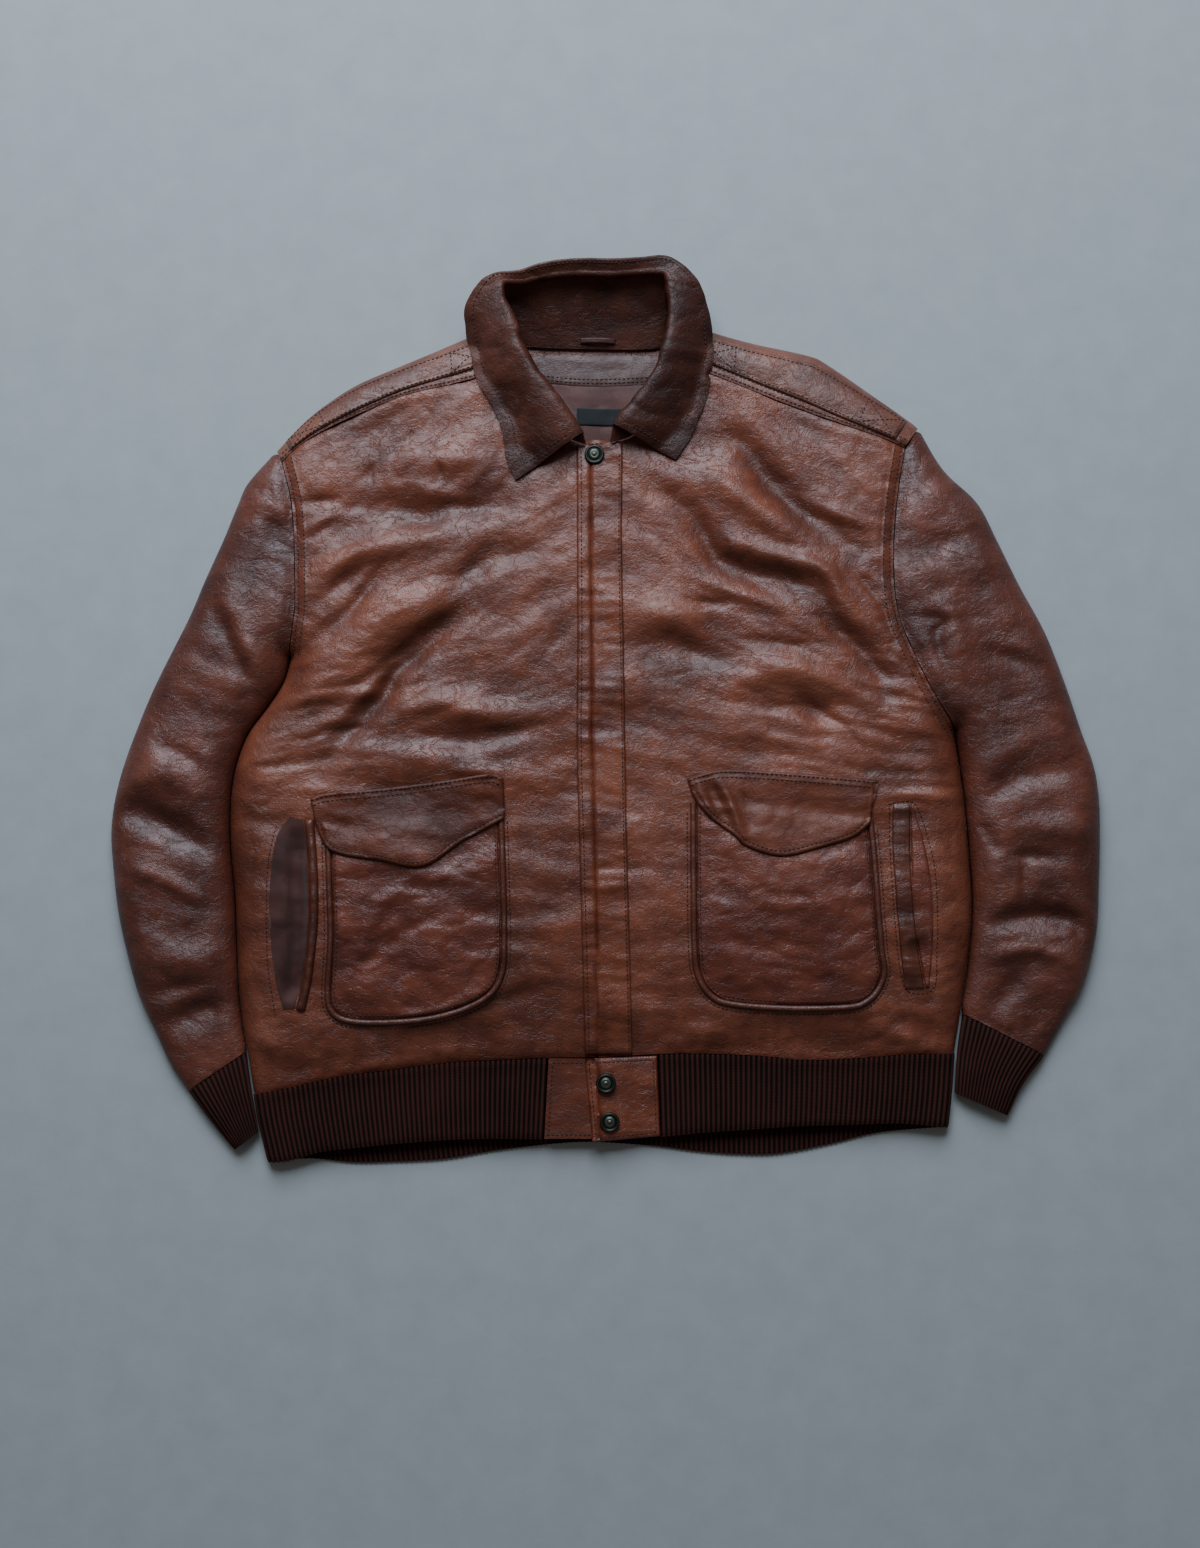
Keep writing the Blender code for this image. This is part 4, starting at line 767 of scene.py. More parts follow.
class Bench:
    """The floor that the pieces are laid on, and the list of what lies there."""

    def __init__(self, looks: Wardrobe) -> None:
        """Start with an empty floor."""
        self.looks = looks
        self.pieces: dict[str, Piece] = {}
        self.trees: dict[str, BVHTree] = {}
        self.boxes: dict[str, Array] = {}

    def remember(self, name: str, points: Array, faces: list[list[int]]) -> None:
        """Keep a piece's outer face, so that others can be laid on it."""
        self.trees[name] = BVHTree.FromPolygons(points.tolist(), faces)
        self.boxes[name] = np.array([points[:, :2].min(axis=0), points[:, :2].max(axis=0)])

    def height(self, x: float, y: float, only: Names = ()) -> float:
        """Return the height of what lies at a place.

        Args:
            x: Place in plan.
            y: Place in plan.
            only: Names of the pieces that are looked at, or none for all.

        Returns:
            The height, or zero where nothing lies.
        """
        top = 0.0
        for name in only or self.trees:
            low, high = self.boxes[name]
            if low[0] <= x <= high[0] and low[1] <= y <= high[1]:
                hit = self.trees[name].ray_cast(Vector((x, y, 500.0)), Vector((0.0, 0.0, -1.0)))[0]
                if hit is not None:
                    top = max(top, hit.z)
        return top

    def heights(self, plan: Array, only: Names = ()) -> Array:
        """Return the height of what lies at each point of a plan grid."""
        return np.array([[self.height(p[0], p[1], only) for p in row] for row in plan])

    def add(self, name: str, made: bpy.types.Object, slot: str, cut: tuple[float, float, float] | None,
            held: Held = Held.LAID, rests_on: Names = ON_BACK) -> bpy.types.Object:
        """List a finished piece.

        Args:
            name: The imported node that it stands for.
            made: The piece.
            slot: The record's material slot.
            cut: Flat width, length and area in metres, or None for a hard piece.
            held: How it lies.
            rests_on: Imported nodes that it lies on.

        Returns:
            The piece.
        """
        self.pieces[name] = Piece(made, slot, cut, held, list(rests_on))
        return made

    def shell(self, name: str, outer: Array, look: str, slot: str, crest: Array | None = None,
              thickness: float = SHELL, level_edge: int = 0, rests_on: Names = ON_BACK,
              held: Held = Held.LAID, inner: Array | None = None) -> bpy.types.Object:
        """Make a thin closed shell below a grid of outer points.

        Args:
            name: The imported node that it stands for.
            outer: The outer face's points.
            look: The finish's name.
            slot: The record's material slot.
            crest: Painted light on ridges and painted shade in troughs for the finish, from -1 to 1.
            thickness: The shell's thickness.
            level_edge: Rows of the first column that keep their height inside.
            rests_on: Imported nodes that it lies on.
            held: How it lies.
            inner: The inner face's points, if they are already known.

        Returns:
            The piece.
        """
        if inner is None:
            inner = outer - thickness * unit_normals(outer)
            if level_edge:
                inner[:level_edge, 0, 2] = outer[:level_edge, 0, 2]
        rows, columns = outer.shape[:2]
        sheet, faces = wall_faces(rows, columns)
        points = np.vstack([outer.reshape(-1, 3), inner.reshape(-1, 3)])
        mark = np.zeros((rows, columns)) if crest is None else crest
        made = plain_mesh("worn_" + name, points, faces, self.looks[look],
                          {"crest": np.concatenate([mark.ravel(), mark.ravel()])})
        self.remember(name, outer.reshape(-1, 3), sheet)
        return self.add(name, made, slot, flat_cut(outer), held, rests_on)

    def laid(self, name: str, plan: Array, thickness: float, look: str, slot: str,
             rise: Array | float = 0.0, edge: float = 3.0, stitch: float = 4.0, seed: float = 0.0,
             amount: float = 0.5, bridge: int = 6, only: Names = (),
             rests_on: Names = ON_BACK) -> bpy.types.Object:
        """Lay a piece with a rolled, stitched edge on what is already there.

        Args:
            name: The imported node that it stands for.
            plan: Its plan points.
            thickness: Its thickness.
            look: The finish's name.
            slot: The record's material slot.
            rise: Height added to its points.
            edge: Width of the rolled edge.
            stitch: Distance of the stitched groove from the edge, or zero for none.
            seed: A number for its creases.
            amount: Scale of its creases.
            bridge: How stiffly it spans hollows.
            only: Names of the pieces that it lies on, or none for all.
            rests_on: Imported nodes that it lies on.

        Returns:
            The piece.
        """
        under = self.heights(plan, only)
        base = under
        for _ in range(bridge):
            base = np.maximum(softened(base, 1), under)
        rim = np.vstack([plan[0], plan[1:, -1], plan[-1, ::-1][1:], plan[::-1, 0][1:]])
        gap = nearest(rim, plan)[0]
        reach = np.clip(gap / edge, 0, 1)
        wear = worn(plan, seed, amount)
        detail = 0.7 * wear
        if stitch:
            detail = detail - 0.45 * np.exp(-((gap - stitch) / 1.3) ** 2)
            pucker = rumple(plan, 4.6, 4.6, seed + 2.2) * np.exp(-((gap - stitch) / 5.0) ** 2)
            detail = detail + 0.35 * pucker
        body = np.maximum(thickness * (0.25 + 0.75 * np.sqrt(1 - (1 - reach) ** 2)) + detail * reach,
                          0.25 * thickness)
        low = base + LAID_GAP + np.broadcast_to(rise, plan.shape[:2])
        high = low + body
        # Painted shade darkens the piece towards its rolled edge, and its small relief paints light on lumps
        # and shade in hollows
        crest = np.clip(wear / max(amount, 0.05) * 0.5 - 0.6 * (1 - reach), -1, 1)
        return self.shell(name, with_height(plan, high), look, slot, crest, rests_on=rests_on,
                          inner=with_height(plan, low))

    def join_to(self, sheet: str, trim: str) -> None:
        """Count a narrow piece as trim of a sheet that it is sewn to."""
        self.pieces[trim].cut = None
        self.pieces[sheet].with_pieces.append(self.pieces[trim].made)

    def declare(self) -> None:
        """Attach every piece and its stitches to the root, hide the imported part that each stands for, and
        log the hard pieces.
        """
        for name, piece in self.pieces.items():
            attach(piece.made, "root")
            for trim in piece.with_pieces:
                if trim.name.startswith("stitches"):
                    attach(trim, "root")
            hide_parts(name)
            if piece.cut:
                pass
            else:
                LOG.info("%s: hard piece", name)


def flat_cut(grid: Array, wraps: bool = False) -> tuple[float, float, float]:
    """Return the flat size of a sheet that has a grid's shape.

    Args:
        grid: The sheet's points in millimetres.
        wraps: Whether its columns go all round.

    Returns:
        Width, length and area in metres.
    """
    ring = np.concatenate([grid, grid[:, :1]], axis=1) if wraps else grid
    across = np.linalg.norm(np.diff(ring, axis=1), axis=2).sum(axis=1).max()
    up = np.linalg.norm(np.diff(ring, axis=0), axis=2).sum(axis=0).max()
    a = ring[1:, 1:] - ring[:-1, :-1]
    b = ring[1:, :-1] - ring[:-1, 1:]
    area = 0.5 * np.linalg.norm(np.cross(a, b), axis=2).sum() * MM * MM
    width, length = across * MM, up * MM
    return float(width), float(length), float(min(max(area, 0.3 * width * length), width * length))


# Sewing

TREE_END = {"real": ("GeometryNodeRealizeInstances", {}, {}), "paint": ("GeometryNodeSetMaterial", {}, {})}


def node_tree(name: str, takes: dict[str, float | str], gives: str, parts: dict[str, tuple],
              links: tuple[tuple, ...]) -> bpy.types.NodeTree:
    """Build a geometry node tree from lists of its inputs, nodes and links.

    Args:
        name: The tree's name.
        takes: Its inputs by name, as a number or as the type of another socket.
        gives: The name of its output.
        parts: Its nodes by name: type, settings, and values of inputs.
        links: Node, output, next node and input. Its own ends are given and result.

    Returns:
        The tree.
    """
    tree = bpy.data.node_groups.new(name, "GeometryNodeTree")
    for label, value in takes.items():
        typed = isinstance(value, str)
        kind = value if typed else "NodeSocketFloat"
        socket = tree.interface.new_socket(label, in_out="INPUT", socket_type=kind)
        if not typed:
            socket.default_value = value
    tree.interface.new_socket(gives, in_out="OUTPUT", socket_type="NodeSocketGeometry")
    nodes = {"given": tree.nodes.new("NodeGroupInput"), "result": tree.nodes.new("NodeGroupOutput")}
    for label, (kind, settings, values) in parts.items():
        nodes[label] = tree.nodes.new(kind)
        for key, value in settings.items():
            setattr(nodes[label], key, value)
        for key, value in values.items():
            nodes[label].inputs[key].default_value = value
    for start, output, end, into in links:
        tree.links.new(nodes[start].outputs[output], nodes[end].inputs[into])
    return tree


class StitchTree:
    """The node tree that sews even stitches along every edge line it is given."""

    def __init__(self) -> None:
        """Build the tree with its named inputs."""
        takes = {"Line": "NodeSocketGeometry", "Pitch": 0.0038, "Stitch length": 0.0029,
                 "Thread width": 0.0009, "Thread": "NodeSocketMaterial"}
        parts = {"line": ("GeometryNodeMeshToCurve", {}, {}),
                 "points": ("GeometryNodeCurveToPoints", {"mode": "LENGTH"}, {}),
                 "ball": ("GeometryNodeMeshUVSphere", {}, {"Segments": 6, "Rings": 4, "Radius": 0.5}),
                 "size": ("ShaderNodeCombineXYZ", {}, {}),
                 "shape": ("GeometryNodeTransform", {}, {}),
                 "turn": ("FunctionNodeAlignRotationToVector", {"axis": "X"}, {}),
                 "place": ("GeometryNodeInstanceOnPoints", {}, {}), **TREE_END}
        links = (("given", "Line", "line", "Mesh"), ("line", "Curve", "points", "Curve"),
                 ("given", "Pitch", "points", "Length"), ("points", "Tangent", "turn", "Vector"),
                 ("given", "Stitch length", "size", "X"), ("given", "Thread width", "size", "Y"),
                 ("given", "Thread width", "size", "Z"), ("ball", "Mesh", "shape", "Geometry"),
                 ("size", "Vector", "shape", "Scale"), ("points", "Points", "place", "Points"),
                 ("shape", "Geometry", "place", "Instance"), ("turn", "Rotation", "place", "Rotation"),
                 ("place", "Instances", "real", "Geometry"), ("real", "Geometry", "paint", "Geometry"),
                 ("given", "Thread", "paint", "Material"), ("paint", "Geometry", "result", "Stitches"))
        self.tree = node_tree("run_of_stitches", takes, "Stitches", parts, links)


class RibTree:
    """The node tree that raises ribs on a sheet along its normals."""

    def __init__(self) -> None:
        """Build the tree with its named inputs."""
        takes = {"Sheet": "NodeSocketGeometry", "Rib height": 0.001, "Knit": "NodeSocketMaterial"}
        parts = {"course": ("GeometryNodeInputNamedAttribute", {}, {"Name": "course"}),
                 "raised": ("GeometryNodeInputNamedAttribute", {}, {"Name": "raised"}),
                 "normal": ("GeometryNodeInputNormal", {}, {}),
                 "angle": ("ShaderNodeMath", {"operation": "MULTIPLY"}, {1: math.pi}),
                 "wave": ("ShaderNodeMath", {"operation": "SINE"}, {}),
                 "half": ("ShaderNodeMath", {"operation": "ABSOLUTE"}, {}),
                 "power": ("ShaderNodeMath", {"operation": "POWER"}, {1: 0.8}),
                 "tall": ("ShaderNodeMath", {"operation": "MULTIPLY"}, {}),
                 "full": ("ShaderNodeMath", {"operation": "MULTIPLY"}, {}),
                 "offset": ("ShaderNodeVectorMath", {"operation": "SCALE"}, {}),
                 "move": ("GeometryNodeSetPosition", {}, {}), **TREE_END}
        links = (("course", "Attribute", "angle", 0), ("angle", 0, "wave", 0), ("wave", 0, "half", 0),
                 ("half", 0, "power", 0), ("power", 0, "tall", 0), ("given", "Rib height", "tall", 1),
                 ("tall", 0, "full", 0), ("raised", "Attribute", "full", 1), ("normal", 0, "offset", 0),
                 ("full", 0, "offset", "Scale"), ("given", "Sheet", "move", "Geometry"),
                 ("offset", 0, "move", "Offset"), ("move", "Geometry", "real", "Geometry"),
                 ("real", "Geometry", "paint", "Geometry"), ("given", "Knit", "paint", "Material"),
                 ("paint", "Geometry", "result", "Ribbed"))
        self.tree = node_tree("raised_ribs", takes, "Ribbed", parts, links)


def run_tree(made: bpy.types.Object, tree: bpy.types.NodeTree, inputs: dict[str, object]) -> None:
    """Run a node tree on an object and keep its result as a plain mesh.

    Args:
        made: The object, whose mesh is replaced.
        tree: The node tree.
        inputs: Values of its inputs by name.
    """
    modifier = made.modifiers.new("tree", "NODES")
    modifier.node_group = tree
    for item in tree.interface.items_tree:
        if item.in_out == "INPUT" and item.name in inputs:
            modifier[item.identifier] = inputs[item.name]
    graph = bpy.context.evaluated_depsgraph_get()
    result = bpy.data.meshes.new_from_object(made.evaluated_get(graph), preserve_all_data_layers=True,
                                             depsgraph=graph)
    made.modifiers.clear()
    made.data = result
    result.name = made.name


class Sewing:
    """Needle and thread: sews lines of stitches on the pieces of a bench."""

    def __init__(self, bench: Bench) -> None:
        """Thread the needle."""
        self.bench = bench
        self.tree = StitchTree().tree

    def sew(self, on: str, lines: list[Array], pitch: float = STITCH_PITCH,
            width: float = THREAD_WIDTH) -> None:
        """Sew lines on a piece.

        Args:
            on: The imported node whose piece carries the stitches.
            lines: The lines in plan.
            pitch: Distance from stitch to stitch.
            width: Thickness of the thread.
        """
        points, edges = [], []
        for line in lines:
            steps = max(2, int(length_of(line) / SEW_STEP))
            run = []
            for x, y in along(line, even(steps)):
                z = self.bench.height(x, y, (on,))
                if z > 0:
                    run.append((x, y, z + THREAD_CLEAR))
            edges += [(len(points) + k, len(points) + k + 1) for k in range(len(run) - 1)
                      if math.dist(run[k][:2], run[k + 1][:2]) < LINE_BREAK]
            points += run
        self.sew_points(on, np.array(points), edges, pitch, width)

    def sew_points(self, on: str, points: Array, edges: list[tuple[int, int]], pitch: float = STITCH_PITCH,
                   width: float = THREAD_WIDTH) -> None:
        """Sew along edges between points that already lie on a piece.

        Args:
            on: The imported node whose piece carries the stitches.
            points: The points.
            edges: Pairs of point numbers.
            pitch: Distance from stitch to stitch.
            width: Thickness of the thread.
        """
        mesh = bpy.data.meshes.new("line")
        mesh.from_pydata(((points - ORIGIN) * MM).tolist(), edges, [])
        made = put("stitches_" + on, mesh)
        run_tree(made, self.tree, {"Pitch": pitch * MM, "Stitch length": STITCH_SHARE * pitch * MM,
                                   "Thread width": width * MM, "Thread": self.bench.looks["brown_thread"]})
        made.data.shade_smooth()
        self.bench.pieces[on].with_pieces.append(made)


# The jacket's halves

@dataclass
class Half:
    """Outlines, folds and grid places of one half of the jacket."""

    side_of: Side
    shoulder: Points
    yoke: Points
    armhole: Points
    side: Points
    hem: Points
    centre: Points
    neck: Points
    sleeve_out: Points
    sleeve_end: Points
    cuff_out: Points
    cuff_in: Points
    band_side: Points
    band_low: Points
    groove_line: Points
    groove_depth: float
    corner_row: int
    armpit_station: int
    folds: list[Fold]
    sleeve_folds: list[Fold]

    def __post_init__(self) -> None:
        """Work out the smooth curves that the pieces share."""
        self.word = self.side_of.name.lower()
        away = self.side_of.value
        self.side_curve = smooth(self.side)
        self.shoulder_curve = smooth(self.shoulder)
        self.hem_curve = smooth(self.hem)
        self.armhole_curve = smooth(self.armhole)
        self.yoke_curve = smooth(self.yoke[::-1])
        self.centre_curve = smooth(self.centre)
        self.neck_curve = smooth(self.neck)
        self.sleeve_outside = smooth(self.sleeve_out)
        side = self.side_curve + np.array([SLEEVE_GAP * away, 0.0])
        end = self.sleeve_end[-1]
        self.sleeve_inside = np.vstack([side[side[:, 1] > end[1] + 4.0], end])
        head = np.vstack([self.sleeve_outside[:1], self.armhole_curve])
        self.head = moved_aside(head, ARMHOLE_GAP * away)
        self.sleeve_outside[0] = self.head[0]
        self.sleeve_inside[0] = self.head[-1]

    def body_height(self, plan: Array, seed: float, amount: float = 1.0) -> tuple[Array, Array]:
        """Return the outer height of the body and its painted light and shade over a plan grid.

        Args:
            plan: Plan points.
            seed: A number for the small creases.
            amount: Scale of the small creases.

        Returns:
            Heights, and painted light and shade from -1 to 1.
        """
        edge_gap = np.minimum(nearest(self.side_curve, plan)[0], nearest(self.shoulder_curve, plan)[0])
        hem_gap = nearest(self.hem_curve, plan)[0]
        yoke_gap = nearest(self.yoke_curve, plan)[0]
        seam_gap = nearest(self.armhole_curve, plan)[0]
        crown = np.minimum(np.interp(hem_gap, BODY_RISE_AT, BODY_RISE),
                           np.interp(plan[..., 1], BODY_CROWN_AT, BODY_CROWN))
        fade = np.clip(edge_gap / FOLD_FADE, 0, 1)
        dip = ARMHOLE_DIP * np.exp(-(seam_gap / ARMHOLE_DIP_WIDTH) ** 2)
        dip += 0.9 * np.exp(-(yoke_gap / 2.2) ** 2) + 1.6 * np.exp(-(hem_gap / 3.0) ** 2)
        bands = 0.9 * np.clip((11.0 - seam_gap) / 1.6, 0, 1) + 0.6 * np.clip((8.5 - yoke_gap) / 1.4, 0, 1)
        main = FOLD_SCALE * relief(self.folds, plan)
        rise = np.clip((plan[..., 1] + 90.0) / 160.0, 0, 1)
        wear = worn(plan, seed, amount, -self.side_of.value * CHEST_LEAN * rise)
        gathers = rumple(plan, 8.5, 60.0, seed + 1.9) * 2.4 * np.exp(-hem_gap / 24.0)
        puckers = rumple(plan, 30.0, 6.5, seed + 4.4) * 0.9 * np.exp(-((seam_gap - 14.0) / 12.0) ** 2)
        small = (wear + gathers + puckers) * np.clip(hem_gap / 6.0, 0.25, 1)
        height = pillow(edge_gap, BODY_EDGE, crown) + fade * (main + small + bands - dip)
        gap, reach = nearest(smooth(self.groove_line, 4), plan)
        ends = np.clip(np.sin(math.pi * reach) * 2.5, 0, 1)
        height -= self.groove_depth * np.exp(-(gap / 8.0) ** 4) * ends
        # Painted light on the ridges and painted shade in the troughs of the folds and small relief, and
        # painted shade in the seam dips
        crest = FOLD_LIGHT_AND_SHADE * main + SMALL_RELIEF_LIGHT_AND_SHADE * small - SEAM_DIP_SHADE * dip
        return height, np.clip(crest * fade, -1, 1)

    def sleeve_height(self, plan: Array, stations: Array,
                      seed: float) -> tuple[Array, Array]:
        """Return the outer height of the sleeve and its crests over a plan grid.

        Args:
            plan: Plan points.
            stations: Place of each row, from 0 at the shoulder to 1 at the cuff.
            seed: A number for the small creases.

        Returns:
            Heights, and painted light and shade from -1 to 1.
        """
        edge_gap = np.minimum(nearest(self.sleeve_outside, plan)[0], nearest(self.sleeve_inside, plan)[0])
        from_body = np.interp(plan[..., 1], BODY_CROWN_AT, BODY_CROWN)
        seam_gap = nearest(self.armhole_curve, plan)[0]
        end_gap = nearest(smooth(self.sleeve_end), plan)[0]
        blend = np.clip(seam_gap / SLEEVE_BLEND, 0, 1)
        crown = (1 - blend) * from_body + blend * np.interp(stations, SLEEVE_CROWN_AT, SLEEVE_CROWN)[:, None]
        fade = np.clip(edge_gap / FOLD_FADE, 0, 1)
        dip = ARMHOLE_DIP * np.exp(-(seam_gap / ARMHOLE_DIP_WIDTH) ** 2) + 1.2 * np.exp(-(end_gap / 3.0) ** 2)
        main = FOLD_SCALE * relief(self.sleeve_folds, plan)
        small = worn(plan, seed, 0.9, self.side_of.value * SLEEVE_LEAN)
        small += rumple(plan, 9.0, 40.0, seed) * 1.8 * np.exp(-end_gap / 26.0)
        height = pillow(edge_gap, SLEEVE_EDGE, crown) + fade * (main + small - dip)
        # Painted light on the ridges and painted shade in the troughs of the folds and small relief, and in
        # the dips at the armhole seam and the cuff end
        crest = FOLD_LIGHT_AND_SHADE * main + SMALL_RELIEF_LIGHT_AND_SHADE * small - SEAM_DIP_SHADE * dip
        return height, np.clip(crest * fade, -1, 1)


RIGHT = Half(
    side_of=Side.RIGHT,
    shoulder=[(-97, 343), (-114, 346), (-133, 338), (-166, 323), (-202, 307), (-234, 292),
              (-263, 272), (-283, 254), (-304, 230)],
    yoke=[(-95, 303), (-123, 295), (-148, 288), (-186, 278), (-227, 260), (-263, 242),
          (-283, 229), (-296, 217)],
    armhole=[(-296, 217), (-287, 185), (-283, 154), (-281, 118), (-280, 82), (-286, 41)],
    side=[(-286, 41), (-292, 19), (-306, -4), (-323, -29), (-333, -60), (-336, -89), (-335, -127),
          (-330, -169), (-327, -211), (-324, -253), (-320, -285), (-315, -310), (-308, -348)],
    hem=[(-308, -348), (-274, -341), (-229, -330), (-184, -324), (-139, -317), (-94, -314),
         (-47, -311), (-5, -310)],
    centre=[(-5, -310), (-7, -215), (-11, -125), (-15, -35), (-16, 55), (-18, 145), (-20, 235)],
    neck=[(-20, 235), (-40, 241), (-60, 255), (-81, 278), (-95, 303)],
    sleeve_out=[(-304, 230), (-329, 200), (-338, 179), (-350, 147), (-365, 111), (-379, 75),
                (-405, 19), (-421, -22), (-436, -70), (-442, -112), (-439, -151), (-432, -196),
                (-418, -247), (-409, -271), (-397, -294), (-382, -324), (-366, -346)],
    sleeve_end=[(-366, -346), (-342, -332), (-316.5, -311)],
    cuff_out=[(-366, -346), (-344, -373), (-324, -396)],
    cuff_in=[(-316.5, -311), (-310.5, -345), (-303.5, -380)],
    band_side=[(-308, -348), (-303, -373), (-294, -406)],
    band_low=[(-294, -406), (-274, -404), (-247, -396), (-216, -392), (-184, -388), (-139, -384),
              (-94, -382), (-51, -382)],
    groove_line=[(-272, -112), (-271, -151), (-269, -196), (-271, -240), (-275, -266)],
    groove_depth=9.0,
    corner_row=17,
    armpit_station=9,
    folds=[
        Fold([(-122, 96), (-150, 68), (-172, 45), (-193, 24), (-200, 6), (-230, -28), (-253, -56)], 11, -6.0),
        Fold([(-288, 14), (-258, 22), (-223, 50), (-196, 77), (-163, 86), (-141, 91), (-110, 116)], 17, 4.5),
        Fold([(-246, 160), (-205, 176), (-163, 169), (-145, 180), (-101, 181), (-85, 183)], 13, -4.5),
        Fold([(-196, 218), (-150, 219), (-108, 222)], 13, 3.0),
        Fold([(-262, 103), (-239, 123), (-205, 137), (-163, 148), (-131, 156)], 13, 4.0),
        Fold([(-255, 91), (-234, 114), (-212, 132)], 9, -3.0),
        Fold([(-196, -14), (-154, 2), (-126, -5), (-90, -12), (-39, -5)], 12, 3.5),
        Fold([(-177, -28), (-131, -32), (-85, -23), (-33, -12)], 10, -3.0),
        Fold([(-245, -44), (-155, -47), (-81, -60)], 12, 3.5),
        Fold([(-141, 103), (-125, 119), (-99, 135), (-72, 137)], 11, -3.5),
        Fold([(-280, 151), (-251, 165), (-216, 169)], 6, 2.0),
        Fold([(-177, 197), (-150, 188), (-104, 185)], 7, 2.2),
        Fold([(-283, 179), (-244, 182)], 4, -1.8),
        Fold([(-269, 50), (-234, 77), (-216, 103), (-196, 130)], 6, -2.0),
        Fold([(-138, -58), (-96, -61)], 4, 2.2),
        Fold([(-198, -288), (-126, -265), (-60, -238)], 8, 2.5),
        Fold([(-218, 206), (-214, 206)], 9, -2.2),
        Fold([(-157, 208), (-151, 210)], 9, -2.0),
        Fold([(-238, 4), (-200, 34), (-168, 62), (-140, 82)], 5, -1.6),
        Fold([(-250, -20), (-214, 8), (-190, 40)], 5, 1.5),
    ],
    sleeve_folds=[
        Fold([(-439, -104), (-415, -101), (-379, -118), (-338, -140)], 12, -5.5),
        Fold([(-429, -76), (-391, -67), (-351, -90)], 13, 3.5),
        Fold([(-382, -285), (-356, -274), (-325, -266)], 11, -4.0),
        Fold([(-415, -231), (-365, -229), (-329, -217)], 12, 2.5),
        Fold([(-341, 93), (-320, 48), (-305, 21)], 13, 3.5),
        Fold([(-305, 165), (-292, 134)], 10, -3.0),
        Fold([(-400, -40), (-370, -52), (-345, -76)], 6, -2.0),
        Fold([(-425, -150), (-390, -160), (-350, -182)], 6, 2.0),
        Fold([(-405, -262), (-372, -254), (-340, -250)], 6, -2.0),
        Fold([(-360, 96), (-340, 60), (-322, 20), (-318, -20)], 7, -2.2),
    ],
)

